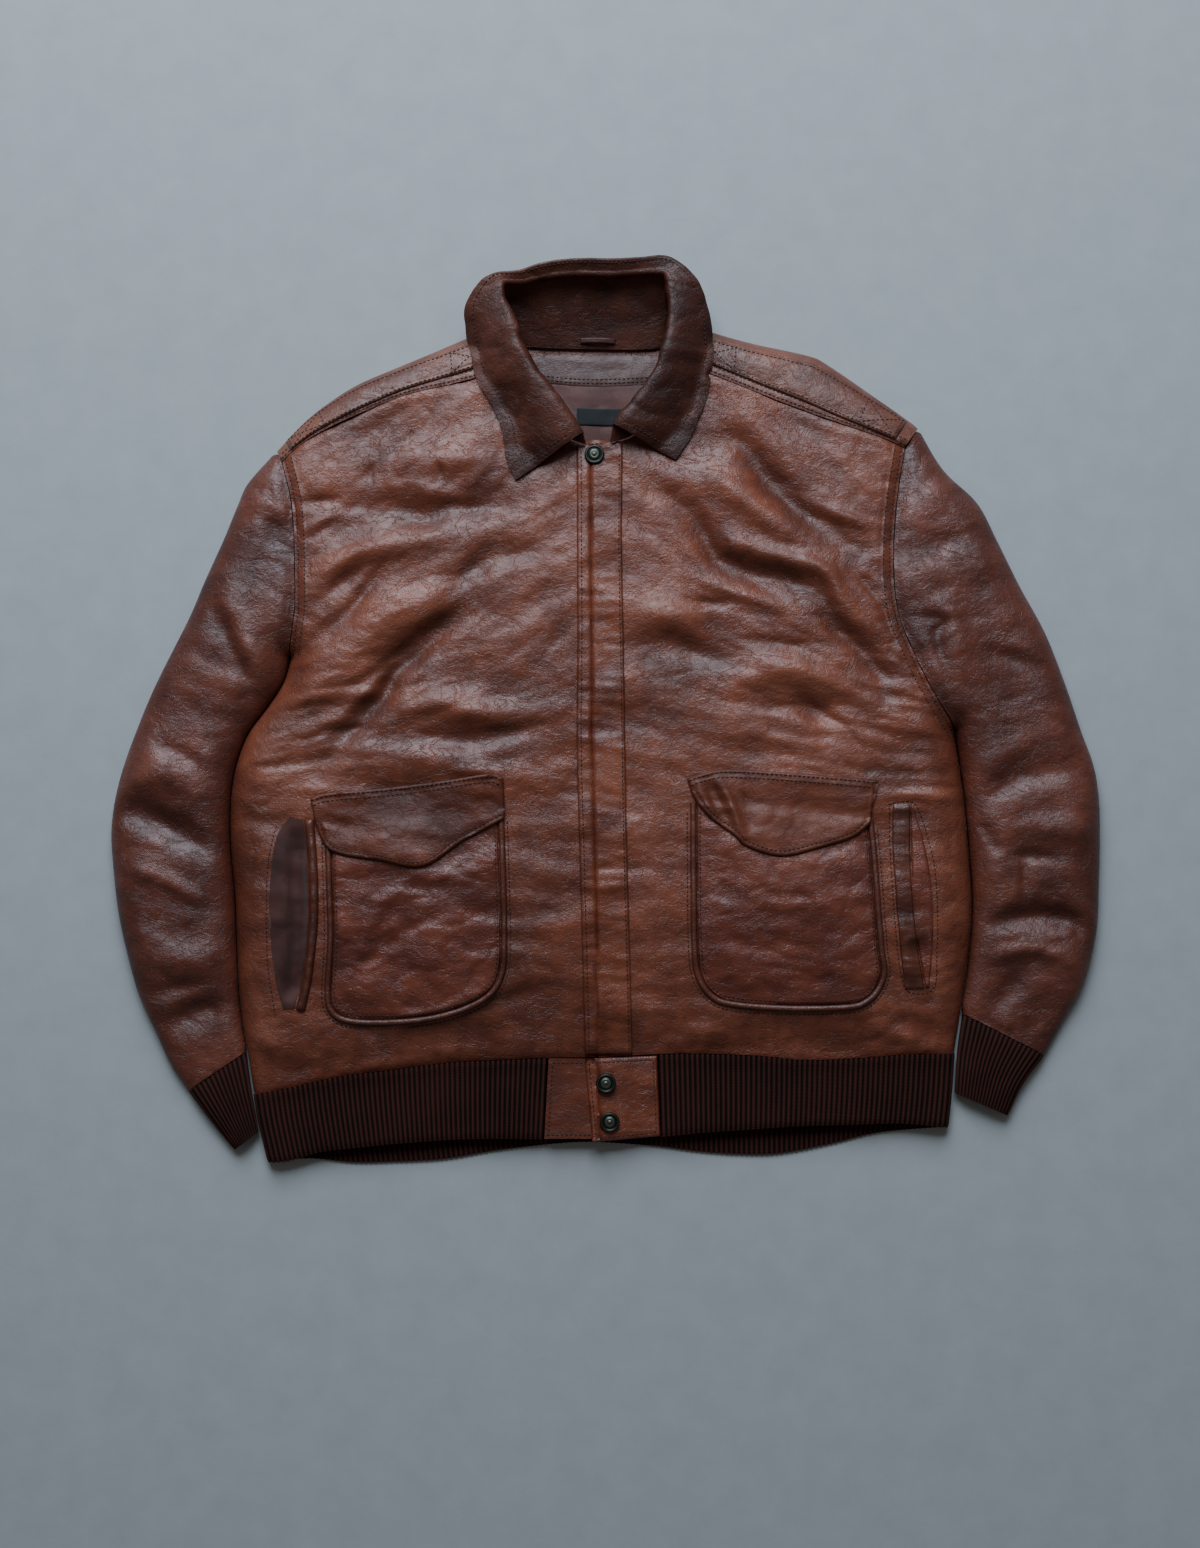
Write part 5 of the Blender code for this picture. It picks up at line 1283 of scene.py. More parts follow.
LEFT = Half(
    side_of=Side.LEFT,
    shoulder=[(57, 354), (72, 353), (89, 347), (127, 337), (176, 327), (194, 319), (234, 292),
              (270, 267), (277, 261)],
    yoke=[(60, 308), (88, 302), (142, 281), (191, 263), (236, 248), (262, 238)],
    armhole=[(262, 238), (255, 190), (252, 136), (256, 91), (270, 55), (288, 19), (311, -14)],
    side=[(311, -14), (316, -44), (321, -80), (325, -125), (328, -170), (325, -215), (319, -260),
          (313, -301)],
    hem=[(313, -301), (266, -303), (221, -307), (176, -309), (140, -306), (86, -305), (50, -306),
         (-3, -310)],
    centre=[(-3, -310), (-5, -215), (-9, -125), (-13, -35), (-14, 55), (-16, 145), (-18, 235)],
    neck=[(-18, 235), (16, 243), (36, 262), (52, 284), (60, 308)],
    sleeve_out=[(277, 261), (300, 223), (331, 193), (349, 159), (370, 117), (392, 77), (410, 32),
                (425, -12), (436, -42), (441, -72), (442, -109), (441, -155), (439, -191),
                (428, -237), (410, -270), (393, -301)],
    sleeve_end=[(393, -301), (356, -280), (320.5, -266)],
    cuff_out=[(393, -301), (373, -328), (361, -354)],
    cuff_in=[(320.5, -266), (316, -300), (314, -335)],
    band_side=[(313, -301), (311, -335), (308, -365)],
    band_low=[(54, -378), (86, -374), (131, -370), (176, -366), (221, -364), (266, -362),
              (308, -365)],
    groove_line=[(276, -198), (280, -220), (285, -239)],
    groove_depth=3.6,
    corner_row=13,
    armpit_station=12,
    folds=[
        Fold([(91, 242), (115, 240), (132, 217), (157, 192), (180, 175), (199, 159), (221, 145)], 12, -5.5),
        Fold([(60, 211), (91, 204), (124, 183), (157, 162), (176, 153)], 13, 4.0),
        Fold([(38, 194), (66, 178), (85, 155), (98, 134), (127, 122), (162, 115), (187, 109)], 12, -6.0),
        Fold([(96, 152), (127, 143), (157, 134), (180, 129), (195, 119), (206, 97), (228, 72)], 9, 4.0),
        Fold([(191, 100), (204, 72), (225, 54), (240, 36), (248, 13)], 10, -4.5),
        Fold([(27, 83), (81, 81)], 12, 3.0),
        Fold([(115, 23), (144, 36), (179, 32), (208, 23)], 12, 3.0),
        Fold([(38, 62), (81, 51), (124, 42)], 11, -3.5),
        Fold([(162, 15), (187, -8), (199, -27)], 10, -3.0),
        Fold([(75, -292), (108, -276)], 12, 3.0),
        Fold([(71, 95), (107, 94)], 4, -2.0),
        Fold([(176, 9), (208, -14), (229, -44)], 5, -2.0),
        Fold([(209, 135), (240, 98), (252, 68)], 5, -2.0),
        Fold([(236, -276), (282, -292)], 8, 2.5),
        Fold([(66, 120), (110, 104), (150, 92)], 5, 1.6),
        Fold([(140, 205), (176, 186), (214, 172), (236, 166)], 6, 1.8),
        Fold([(118, 62), (160, 58), (196, 44)], 5, -1.5),
    ],
    sleeve_folds=[
        Fold([(333, -187), (370, -179), (393, -178), (416, -184), (428, -199)], 11, -5.5),
        Fold([(328, -73), (373, -54), (434, -45)], 13, -4.0),
        Fold([(360, -102), (401, -100), (430, -104)], 12, 3.5),
        Fold([(377, -220), (360, -244), (342, -262)], 11, -3.0),
        Fold([(282, 100), (303, 83), (312, 50)], 11, 3.0),
        Fold([(360, -125), (401, -127)], 5, -2.2),
        Fold([(370, -123), (371, -165)], 5, -2.0),
        Fold([(330, -95), (346, -120)], 5, -2.0),
        Fold([(272, 86), (297, 83), (291, 66), (304, 28)], 5, -2.0),
        Fold([(345, -215), (384, -208), (418, -222)], 6, 2.0),
        Fold([(330, 60), (362, 48), (398, 40)], 7, -1.8),
    ],
)


# Panels

FRONT_PLACES = (0.0, 0.006, 0.02, 0.045, 0.085, 0.14, 0.205, 0.27, 0.336, 0.402, 0.468,
                0.534, 0.6, 0.666, 0.732, 0.8, 0.866, 0.933, 1.0)
SLEEVE_PLACES = (0.0, 0.015, 0.05, 0.11, 0.2, 0.31, 0.43, 0.55, 0.67, 0.78, 0.88, 0.95, 0.985, 1.0)


@dataclass
class Front:
    """One front panel, domed over the back and falling to it along its side."""

    half: Half
    rows: int = 201
    neck_corner: int = 176
    finer: int = 8
    seed: float = 11.0

    def build(self, bench: Bench, sewing: Sewing) -> None:
        """Make the panel and sew the armhole seam on its body side."""
        half = self.half
        corner = half.corner_row * self.finer
        up = even(self.rows)
        side = two_part_edge(half.side_curve[::-1], half.armhole_curve[::-1], self.rows, corner)
        centre = two_part_edge(half.centre_curve, half.neck_curve, self.rows, self.neck_corner)
        plan = coons(half.hem_curve, half.yoke_curve, side, centre, spread(FRONT_PLACES, 6), up)
        height, crest = half.body_height(plan, self.seed * half.side_of.value)
        outer = with_height(plan, height)
        outer[:corner + 1, 0, 2] = BODY_EDGE
        name = "front_" + half.word
        bench.shell(name, outer, "front_leather", "body_leather", crest, level_edge=corner + 1)
        seams = [moved_aside(half.armhole_curve, -d * half.side_of.value) for d in (3.2, 9.0)]
        sewing.sew(name, seams)


@dataclass
class Shoulder:
    """The shoulder piece, which rounds down to the back panel, and its sewn-down strap."""

    half: Half
    rows: int = 30
    columns: int = 90
    seed: float = 31.0

    def plan(self, rows: Array, columns: int) -> Array:
        """Return plan points of the shoulder piece for given rows."""
        low = self.half.yoke_curve[::-1] + np.array([0.0, YOKE_GAP])
        high = self.half.shoulder_curve
        return between_lines(low, high, columns, rows)

    def strap_line(self, share: float, start: float = 0.06, end: float = 0.95) -> Array:
        """Return a line along the strap, 0 at its lower edge and 1 at its upper."""
        grid = self.plan(even(41), 81)
        u = np.linspace(start, end, 90)
        v = (1 - share) * (0.22 - 0.16 * u) + share * (0.74 + 0.12 * u)
        row, column = v * 40, u * 80
        i, j = np.minimum(row.astype(int), 39), np.minimum(column.astype(int), 79)
        s, t = (row - i)[:, None], (column - j)[:, None]
        low = (1 - t) * grid[i, j] + t * grid[i, j + 1]
        high = (1 - t) * grid[i + 1, j] + t * grid[i + 1, j + 1]
        return (1 - s) * low + s * high

    def build(self, bench: Bench, sewing: Sewing) -> None:
        """Make the piece and its strap, and sew both."""
        half = self.half
        rows = 1 - (1 - even(self.rows)) ** 1.6
        plan = self.plan(rows, self.columns)
        height, crest = half.body_height(plan, self.seed * half.side_of.value, 0.6)
        outer = with_height(plan, height)
        outer[-1, :, 2] = BODY_EDGE
        inner = outer - SHELL * unit_normals(outer)
        inner[-1, :, 2] = BODY_EDGE
        name = "shoulder_" + half.word
        bench.shell(name, outer, "shoulder_leather", "body_leather", crest, inner=inner)
        seam = self.plan(np.array([0.0, 1.0]), 60)[0]
        sewing.sew(name, [seam + np.array([0.0, d]) for d in (2.6, 7.6)])
        strap = "epaulette_" + half.word
        grid = np.stack([self.strap_line(s) for s in even(22)])
        bench.laid(strap, grid, 2.2, "strap_leather", "trim_leather", edge=2.6, stitch=3.4,
                   seed=37.0 * half.side_of.value, rests_on=(name,))
        sewing.sew(strap, self.strap_stitches())

    def strap_stitches(self) -> list[Array]:
        """Return the strap's edge stitches and the crossed boxes at both its ends."""
        corners = {}
        lines = [self.strap_line(s, 0.075, 0.935) for s in (0.09, 0.91)]
        for u in (0.075, 0.23, 0.78, 0.935):
            corners[u] = [self.strap_line(s, u, u + 1e-4)[0] for s in (0.09, 0.91)]
            lines.append(np.array(corners[u]))
        for a, b in ((0.075, 0.23), (0.78, 0.935)):
            lines.append(np.array([corners[a][0], corners[b][1]]))
            lines.append(np.array([corners[a][1], corners[b][0]]))
        return lines


@dataclass
class BackPanel:
    """The back panel, flat under the whole jacket, with a rounded rim."""

    neck: Points
    thickness: float = 2.5

    def outline(self) -> Array:
        """Return the panel's outline, once round."""
        return np.vstack([
            smooth(self.neck, 2), LEFT.shoulder_curve[3::2], LEFT.armhole_curve[::2], LEFT.side_curve[2::2],
            along(LEFT.hem_curve, even(40))[1:], along(RIGHT.hem_curve, np.linspace(1, 0, 40)),
            RIGHT.side_curve[::-1][2::2], RIGHT.armhole_curve[::-1][2::2],
            RIGHT.shoulder_curve[::-1][::2][:-1],
        ])

    def build(self, bench: Bench) -> None:
        """Make the panel."""
        slab(bench, "back_panel", self.outline(), self.thickness, "back_leather", "body_leather")


def slab(bench: Bench, name: str, outline: Array, thickness: float, look: str,
         slot: str) -> bpy.types.Object:
    """Make a flat piece with a rounded rim from its outline.

    Args:
        bench: Where it is laid.
        name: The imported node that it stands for.
        outline: Its outline in plan, once round.
        thickness: Its thickness.
        look: The finish's name.
        slot: The record's material slot.

    Returns:
        The piece.
    """
    count = len(outline)
    run = np.roll(outline, -1, axis=0) - np.roll(outline, 1, axis=0)
    run /= np.maximum(np.linalg.norm(run, axis=1), 1e-9)[:, None]
    inward = np.column_stack([-run[:, 1], run[:, 0]])
    x, y = outline.T
    if (x * np.roll(y, -1) - np.roll(x, -1) * y).sum() < 0:
        inward = -inward
    steps = ((0.5, 0.0), (0.0, 0.35), (0.0, 0.65), (0.5, 1.0))
    rings = [np.column_stack([outline + inset * inward, np.full(count, share * thickness)])
             for inset, share in steps]
    points = np.vstack(rings)
    faces = drum_faces(len(rings), count)
    made = plain_mesh("worn_" + name, points, faces, bench.looks[look], {"crest": np.zeros(len(points))})
    area = 0.5 * abs((x * np.roll(y, -1) - np.roll(x, -1) * y).sum()) * MM * MM
    size = (outline.max(axis=0) - outline.min(axis=0)) * MM
    bench.remember(name, points, faces)
    return bench.add(name, made, slot, (float(size[0]), float(size[1]), float(area)), rests_on=())


@dataclass
class Sleeve:
    """One sleeve: a domed top over a flat sole, open at the armhole and the cuff."""

    half: Half
    finer: int = 8
    stations: int = 25
    seed: float = 51.0

    def build(self, bench: Bench) -> None:
        """Make the sleeve."""
        half = self.half
        rows = (self.stations - 1) * self.finer + 1
        armpit = half.armpit_station * self.finer
        places = even(rows)
        inside = two_part_edge(past_start(half.head, SLEEVE_TIP), half.sleeve_inside, rows, armpit)
        outside = along(past_start(half.sleeve_outside, SLEEVE_TIP), places)
        across = spread(SLEEVE_PLACES, 4)[None, :, None]
        plan = (1 - across) * outside[:, None] + across * inside[:, None]
        height, crest = half.sleeve_height(plan, places, self.seed * half.side_of.value)
        name = "sleeve_" + half.word
        tube(bench, name, plan, height, crest, "sleeve_leather", "sleeve_leather", SHELL, armpit)


def tube(bench: Bench, name: str, plan: Array, height: Array, crest: Array, look: str, slot: str,
         thickness: float, open_rows: int = 0, marks: dict[str, Array] | None = None) -> bpy.types.Object:
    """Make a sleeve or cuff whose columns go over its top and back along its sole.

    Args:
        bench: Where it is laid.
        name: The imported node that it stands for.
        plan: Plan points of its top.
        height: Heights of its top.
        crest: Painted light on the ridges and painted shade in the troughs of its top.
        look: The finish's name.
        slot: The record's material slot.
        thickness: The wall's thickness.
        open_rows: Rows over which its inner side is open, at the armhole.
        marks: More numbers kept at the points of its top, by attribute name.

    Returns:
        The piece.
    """
    widths = np.linalg.norm(plan[:, -1] - plan[:, 0], axis=1)
    inset = np.minimum(SOLE_INSET / widths, 0.2)
    far_inset = np.where(np.arange(len(widths)) < open_rows, 0.0, inset)
    shares = np.linspace(1.0, 0.0, 9)[None, :]
    at = inset[:, None] + shares * (1 - inset - far_inset)[:, None]
    sole = with_height(plan[:, :1] + at[..., None] * (plan[:, -1:] - plan[:, :1]), 0.0)
    ring = np.concatenate([with_height(plan, height), sole], axis=1)
    walls = np.minimum(thickness, 0.2 * widths)[:, None, None]
    inner = ring - walls * unit_normals(ring, wraps=True)
    top = plan.shape[1]
    inner[:, top:, 2] = walls[:, 0]
    if open_rows:
        for column in (top - 1, top):
            inner[:open_rows, column, :2] = ring[:open_rows, column, :2]
        inner[:open_rows, top - 1, 2] = (ring - walls)[:open_rows, top - 1, 2]
    rows, columns = ring.shape[:2]
    sheet, faces = wall_faces(rows, columns, (open_rows, top - 1))
    points = np.vstack([ring.reshape(-1, 3), inner.reshape(-1, 3)])
    kept = {}
    for key, values in {"crest": crest, **(marks or {})}.items():
        full = np.concatenate([values, np.zeros((rows, columns - top))], axis=1).ravel()
        kept[key] = np.concatenate([full, np.zeros_like(full) if key == "raised" else full])
    made = plain_mesh("worn_" + name, points, faces, bench.looks[look], kept)
    bench.remember(name, ring.reshape(-1, 3), sheet)
    return bench.add(name, made, slot, flat_cut(ring, wraps=True), rests_on=())


# Rib knit

@dataclass
class Cuff:
    """One rib-knit cuff below a sleeve's end."""

    half: Half
    rows: int = 26
    columns_per_rib: int = 8

    def build(self, bench: Bench, ribs: RibTree) -> None:
        """Make the cuff and raise its ribs."""
        half = self.half
        start = np.array([half.sleeve_end[0], half.sleeve_end[-1]], float)
        outside, inside = smooth(half.cuff_out), smooth(half.cuff_in)
        count = round(np.linalg.norm(start[1] - start[0]) / RIB_PITCH)
        run = outside[-1] - outside[0]
        shift = SEAM_GAP * 1.6 * run / np.linalg.norm(run)
        stations = even(self.rows)
        side_a, side_b = along(outside, stations) + shift, along(inside, stations) + shift
        across = even(self.columns_per_rib * count + 1)
        plan = coons(start + shift, np.array([side_a[-1], side_b[-1]]), side_a, side_b, across, stations)
        gap = np.minimum(nearest(side_a, plan)[0], nearest(side_b, plan)[0])
        height = pillow(gap, SLEEVE_EDGE, CUFF_TOP) + 0.7 * rumple(plan, 26.0, 20.0, 3.0)
        rim = 1 - 0.5 * np.exp(-((1 - stations) * CUFF_DEPTH / 3.0) ** 2)[:, None]
        course = np.broadcast_to(across * count, height.shape)
        wale = np.broadcast_to((stations * length_of(outside))[:, None], height.shape)
        raised = np.broadcast_to(np.clip(stations * 12.0, 0.4, 1)[:, None] * rim, height.shape)
        marks = {"course": course, "wale": wale, "raised": raised}
        made = tube(bench, "cuff_" + half.word, plan, height, np.zeros(height.shape), "rib_knit", "rib_knit",
                    KNIT_WALL, marks=marks)
        run_tree(made, ribs.tree, {"Rib height": RIB_HEIGHT * MM, "Knit": bench.looks["rib_knit"]})


@dataclass
class Waistband:
    """The rib-knit waistband: two front lengths over one that lies flat."""

    back_low: Points
    end_right: Points
    end_left: Points
    hem_shares: tuple[float, float] = (0.857, 0.83)
    columns_per_rib: int = 8
    rows: int = 28

    def front(self, bench: Bench, ribs: RibTree, half: Half, top: Array, low: Array,
              outer_side: Array, inner_side: Array, side_column: int) -> None:
        """Make one front length with raised ribs.

        Args:
            bench: Where it is laid.
            ribs: The tree that raises ribs.
            half: The half that it belongs to.
            top: Its upper edge, from left to right.
            low: Its lower edge, from left to right.
            outer_side: Its left edge in plan.
            inner_side: Its right edge in plan.
            side_column: 0 if its left edge is the jacket's side, or -1.
        """
        count = round(np.linalg.norm(top[-1] - top[0]) / RIB_PITCH)
        across = even(self.columns_per_rib * count + 1)
        up = even(self.rows)
        plan = coons(low, top, along(outer_side, up), along(inner_side, up), across, up)
        gap = nearest(outer_side if side_column == 0 else inner_side, plan)[0]
        reach = np.clip(gap / BAND_ROUND, 0, 1)
        height = BAND_EDGE + (BAND_TOP - BAND_EDGE) * np.sqrt(1 - (1 - reach) ** 2)
        height += rumple(plan, 48.0, 60.0, 5.0) * 1.3 * reach
        height -= 1.2 * np.exp(-(up * BAND_DEPTH / 3.0) ** 2)[:, None]
        height += 1.4 * np.exp(-((1 - up) * BAND_DEPTH / 9.0) ** 2)[:, None]
        outer = with_height(plan, np.maximum(height, BAND_EDGE))
        outer[:, side_column, 2] = BAND_EDGE
        inner = outer - KNIT_WALL * unit_normals(outer)
        inner[:, side_column, 2] = BAND_EDGE - 1.0
        inner[..., 2] = np.maximum(inner[..., 2], BAND_EDGE - 0.2)
        name = "waistband_" + half.word
        made = bench.shell(name, outer, "rib_knit", "rib_knit", inner=inner, rests_on=("waistband_back",))
        self.mark(made, outer.shape[:2], across * count, up * BAND_DEPTH)
        run_tree(made, ribs.tree, {"Rib height": RIB_HEIGHT * MM, "Knit": bench.looks["rib_knit"]})

    def mark(self, made: bpy.types.Object, shape: tuple[int, int], course: Array,
             wale: Array) -> None:
        """Keep each point's place in the knit, with ribs on the outer face alone.

        Args:
            made: The piece.
            shape: Rows and columns of its grid.
            course: Ribs from the first column to each.
            wale: Millimetres from the first row to each.
        """
        count = shape[0] * shape[1]
        raised = np.concatenate([np.ones(count), np.zeros(count)])
        mark_points(made.data, {"course": np.tile(np.broadcast_to(course, shape).ravel(), 2),
                                "wale": np.tile(np.broadcast_to(wale[:, None], shape).ravel(), 2),
                                "raised": raised})

    def build(self, bench: Bench, ribs: RibTree) -> None:
        """Make all three lengths."""
        gap = np.array([0.0, SEAM_GAP])
        top = np.vstack([along(RIGHT.hem_curve, even(40)),
                         along(LEFT.hem_curve, np.linspace(1, 0, 40))[1:]]) - gap
        low = smooth(self.back_low, 4)
        up = even(20)
        columns = self.columns_per_rib * BACK_RIBS
        sides = along(smooth(RIGHT.band_side[::-1]), up), along(smooth(LEFT.band_side[::-1]), up)
        plan = coons(low, top, sides[0] - gap, sides[1] - gap, even(columns + 1), up)
        made = bench.shell("waistband_back", with_height(plan, KNIT_WALL), "rib_knit", "rib_knit",
                           inner=with_height(plan, 0.0), rests_on=())
        self.mark(made, plan.shape[:2], np.linspace(0, BACK_RIBS, columns + 1), up * BACK_BAND_DEPTH)
        run_tree(made, ribs.tree, {"Rib height": BACK_RIB_HEIGHT * MM, "Knit": bench.looks["rib_knit"]})
        end_right, end_left = np.array(self.end_right, float), np.array(self.end_left, float)
        self.front(bench, ribs, RIGHT, part_of(RIGHT.hem_curve, 0.0, self.hem_shares[0]) - gap,
                   smooth(RIGHT.band_low), smooth(RIGHT.band_side[::-1]) - gap, end_right, 0)
        self.front(bench, ribs, LEFT, part_of(LEFT.hem_curve[::-1], 1 - self.hem_shares[1], 1.0) - gap,
                   smooth(LEFT.band_low), end_left, smooth(LEFT.band_side[::-1]) - gap, -1)


# Pieces on the fronts

@dataclass
class Placket:
    """The fly strip over the front opening, round at its top."""

    edge_in: Points
    edge_out: Points
    top: Points
    thickness: float = 2.6

    def build(self, bench: Bench, sewing: Sewing) -> None:
        """Make the strip and its two lines of stitches."""
        rows = even(240)
        side_in, side_out = (along(smooth(e[::-1]), rows) for e in (self.edge_in, self.edge_out))
        low = np.array([side_in[0], side_out[0]])
        plan = coons(low, smooth(self.top), side_in, side_out, even(22), rows)
        ripples = 1.9 * rumple(plan, 70.0, 11.0, 71.0)
        bench.laid("placket", plan, self.thickness, "placket_leather", "trim_leather", rise=np.abs(ripples),
                   edge=2.4, stitch=3.6, seed=73.0, rests_on=("front_left", "front_right"))
        crown = moved_aside(smooth(self.top), -4.0)
        lines = [moved_aside(part_of(side_in, 0.01, 0.985), -4.0),
                 moved_aside(part_of(side_out, 0.01, 0.98), 2.8)]
        sewing.sew("placket", [*lines, part_of(crown, 0.12, 0.88)])


@dataclass
class PatchPocket:
    """A patch pocket, its piping and its pointed flap."""

    half: Half
    outline: Points
    corners: tuple[float, float]
    flap_top: Points
    flap_low: Points
    folds: list[Fold]
    flap_folds: list[Fold]
    piping_half: float = 2.75
    bulge: float = 5.0
    seed: float = 81.0

    def build(self, bench: Bench, sewing: Sewing) -> None:
        """Make the pocket from the front outwards."""
        word = self.half.word
        seed = self.seed * self.half.side_of.value
        front = "front_" + word
        path = smooth(self.outline)
        edge = moved_aside(path, 2 * self.piping_half + SEAM_GAP)
        down = part_of(edge, 0.0, self.corners[0])[::-1]
        across = part_of(edge, *self.corners)
        up = part_of(edge, self.corners[1], 1.0)
        rows = even(84)
        plan = coons(across, np.array([down[-1], up[-1]]), along(down, rows), along(up, rows), rows, rows)
        swell = self.bulge * np.outer(np.sin(math.pi * rows), np.sin(math.pi * rows))
        folds = relief(self.folds, plan) * np.minimum(swell / 2.0, 1)
        bench.laid("pocket_" + word, plan, 2.0, "pocket_leather", "pocket_leather", rise=swell + folds,
                   edge=2.0, stitch=2.6, seed=seed, amount=1.3, only=(front,), rests_on=(front,))
        self.pipe(bench, moved_aside(path, self.piping_half))
        sewing.sew(front, [moved_aside(part_of(path, 0.02, 0.98), -2.6)])
        sewing.sew("pocket_" + word, [moved_aside(part_of(edge, 0.02, 0.98), 2.6)])
        self.flap(bench, sewing, seed)

    def pipe(self, bench: Bench, seam: Array) -> None:
        """Lay the round piping along the pocket's seam."""
        word = self.half.word
        places = along(seam, even(230))
        shares = np.linspace(-1, 1, 9)
        plan = np.stack([moved_aside(places, s * self.piping_half) for s in shares], axis=1)
        low = bench.heights(plan, ("front_" + word,))
        low = np.broadcast_to(softened(low, 4).max(axis=1)[:, None], low.shape) + LAID_GAP
        round_top = 0.6 + 2.6 * np.sqrt(np.clip(1 - shares ** 2, 0, 1))[None, :]
        tucks = 0.25 * rumple(plan, 5.0, 5.0, self.seed)
        high = low + round_top + tucks * (1 - shares ** 2)[None, :]
        name = "pocket_piping_" + word
        # Painted light along the piping's round top and painted shade on its flanks
        crest = np.broadcast_to((0.5 - shares ** 2)[None, :], low.shape)
        bench.shell(name, with_height(plan, high), "trim_leather", "trim_leather", crest,
                    inner=with_height(plan, low), rests_on=("front_" + word,))
        bench.join_to("pocket_" + word, name)

    def flap(self, bench: Bench, sewing: Sewing, seed: float) -> None:
        """Make the flap, with its edge stitches."""
        word = self.half.word
        upper, lower = smooth(self.flap_top), smooth(self.flap_low)
        rows = even(40)
        share = rows[:, None]
        plan = between_lines(lower, upper, 90, rows)
        rise = relief(self.flap_folds, plan)
        rise = rise * np.sin(0.5 * math.pi * np.clip((1 - share) * 5, 0, 1))
        name = "pocket_flap_" + word
        bench.laid(name, plan, 2.8, "flap_leather", "pocket_leather", rise=np.maximum(rise, -1.2) + 0.6,
                   edge=2.6, stitch=4.2, seed=seed + 4.0, amount=0.9, bridge=14, rests_on=("pocket_" + word,))
        lines = ((lower, 4.6), (upper, -2.4), (upper, -7.0))
        sewing.sew(name, [moved_aside(part_of(edge, 0.01, 0.99), inset) for edge, inset in lines])


@dataclass
class HandPockets:
    """Mouths, welts and linings of the two hand-warmer pockets."""

    mouth: Points
    welt: Points
    left_in: Points
    left_out: Points
    leaf: Points
    frame_right: Points
    frame_left: Points
    welt_width: float = 9.0

    def build(self, bench: Bench, sewing: Sewing) -> None:
        """Make the pieces of both pockets."""
        right, left = ("front_right",), ("front_left",)
        mouth, welt = smooth(self.mouth), smooth(self.welt)
        half = self.welt_width * 0.5
        bed = moved_aside(welt, -SEAM_GAP - half)
        bench.laid("hand_lining_right", ribbon(mouth, bed, 14, 60), 1.2, "pocket_cloth",
                   "pocket_lining_cloth", edge=1.5, stitch=0.0, seed=91.0, amount=0.8, bridge=0,
                   only=right, rests_on=right)
        plan = ribbon(moved_aside(welt, SEAM_GAP - half), moved_aside(welt, half), 10, 90)
        roll = 2.0 * np.sin(math.pi * even(10))[None, :]
        bench.laid("hand_welt_right", plan, 2.0, "trim_leather", "trim_leather", rise=roll, edge=2.0,
                   stitch=0.0, seed=93.0, amount=0.7, only=right, rests_on=right)
        inside, outside = smooth(self.left_in), smooth(self.left_out)
        plan = ribbon(inside, outside, 12, 90)
        pleats = 1.1 * np.abs(rumple(plan, 40.0, 6.0, 95.0))
        bench.laid("hand_welt_left", plan, 2.0, "trim_leather", "trim_leather", rise=pleats, edge=2.0,
                   stitch=2.4, seed=95.0, only=left, rests_on=left)
        beside, leaf = moved_aside(outside, SEAM_GAP + 0.4), smooth(self.leaf)
        bench.laid("hand_leaf_left", ribbon(beside, leaf, 8, 90), 1.8, "pocket_leather", "trim_leather",
                   edge=1.6, stitch=0.0, seed=97.0, only=left, rests_on=left)
        sewing.sew("front_right", [smooth(self.frame_right)])
        sewing.sew("front_left", [smooth(self.frame_left)])


@dataclass
class WaistTabs:
    """The leather tabs that close the waistband, the outer over the inner."""

    inner: tuple
    outer: tuple
    thickness: float = 2.8

    def build(self, bench: Bench, sewing: Sewing) -> None:
        """Make both tabs."""
        plan = quad_patch(self.inner, 24, 36)
        wear = worn(plan, 101.0, 0.3)
        top = with_height(plan, BAND_TOP + wear)
        # The tab's small relief also paints light on its lumps and shade in its hollows
        bench.shell("waist_tab_right", top, "flap_leather", "trim_leather", wear, thickness=2.4,
                    rests_on=("waistband_back",), inner=with_height(plan, BAND_TOP - 2.6))
        plan = quad_patch(self.outer, 36, 42)
        step = np.interp(even(36), (0.0, 0.35, 0.7, 1.0), (1.0, 0.9, 0.15, 0.0))[None, :]
        floor = (BAND_TOP + 0.45) * step + (BAND_TOP - 3.0) * (1 - step)
        rise = np.maximum(floor - bench.heights(plan), 0.0)
        bench.laid("waist_tab_left", plan, self.thickness, "placket_leather", "trim_leather", rise=rise,
                   edge=2.2, stitch=3.4, seed=103.0, bridge=2, rests_on=("waistband_back",))
        for name, corners in (("waist_tab_right", self.inner), ("waist_tab_left", self.outer)):
            sewing.sew(name, [self.box(corners, 3.6)])

    def box(self, corners: tuple, inset: float) -> Array:
        """Return a line that runs inside a tab's edge."""
        middle = np.mean(np.array(corners, float), axis=0)
        ring = []
        for corner in (*corners, corners[0]):
            away = np.sign(middle - np.array(corner, float))
            ring.append(np.array(corner, float) + inset * away)
        return along(np.array(ring), even(80))


# Neck

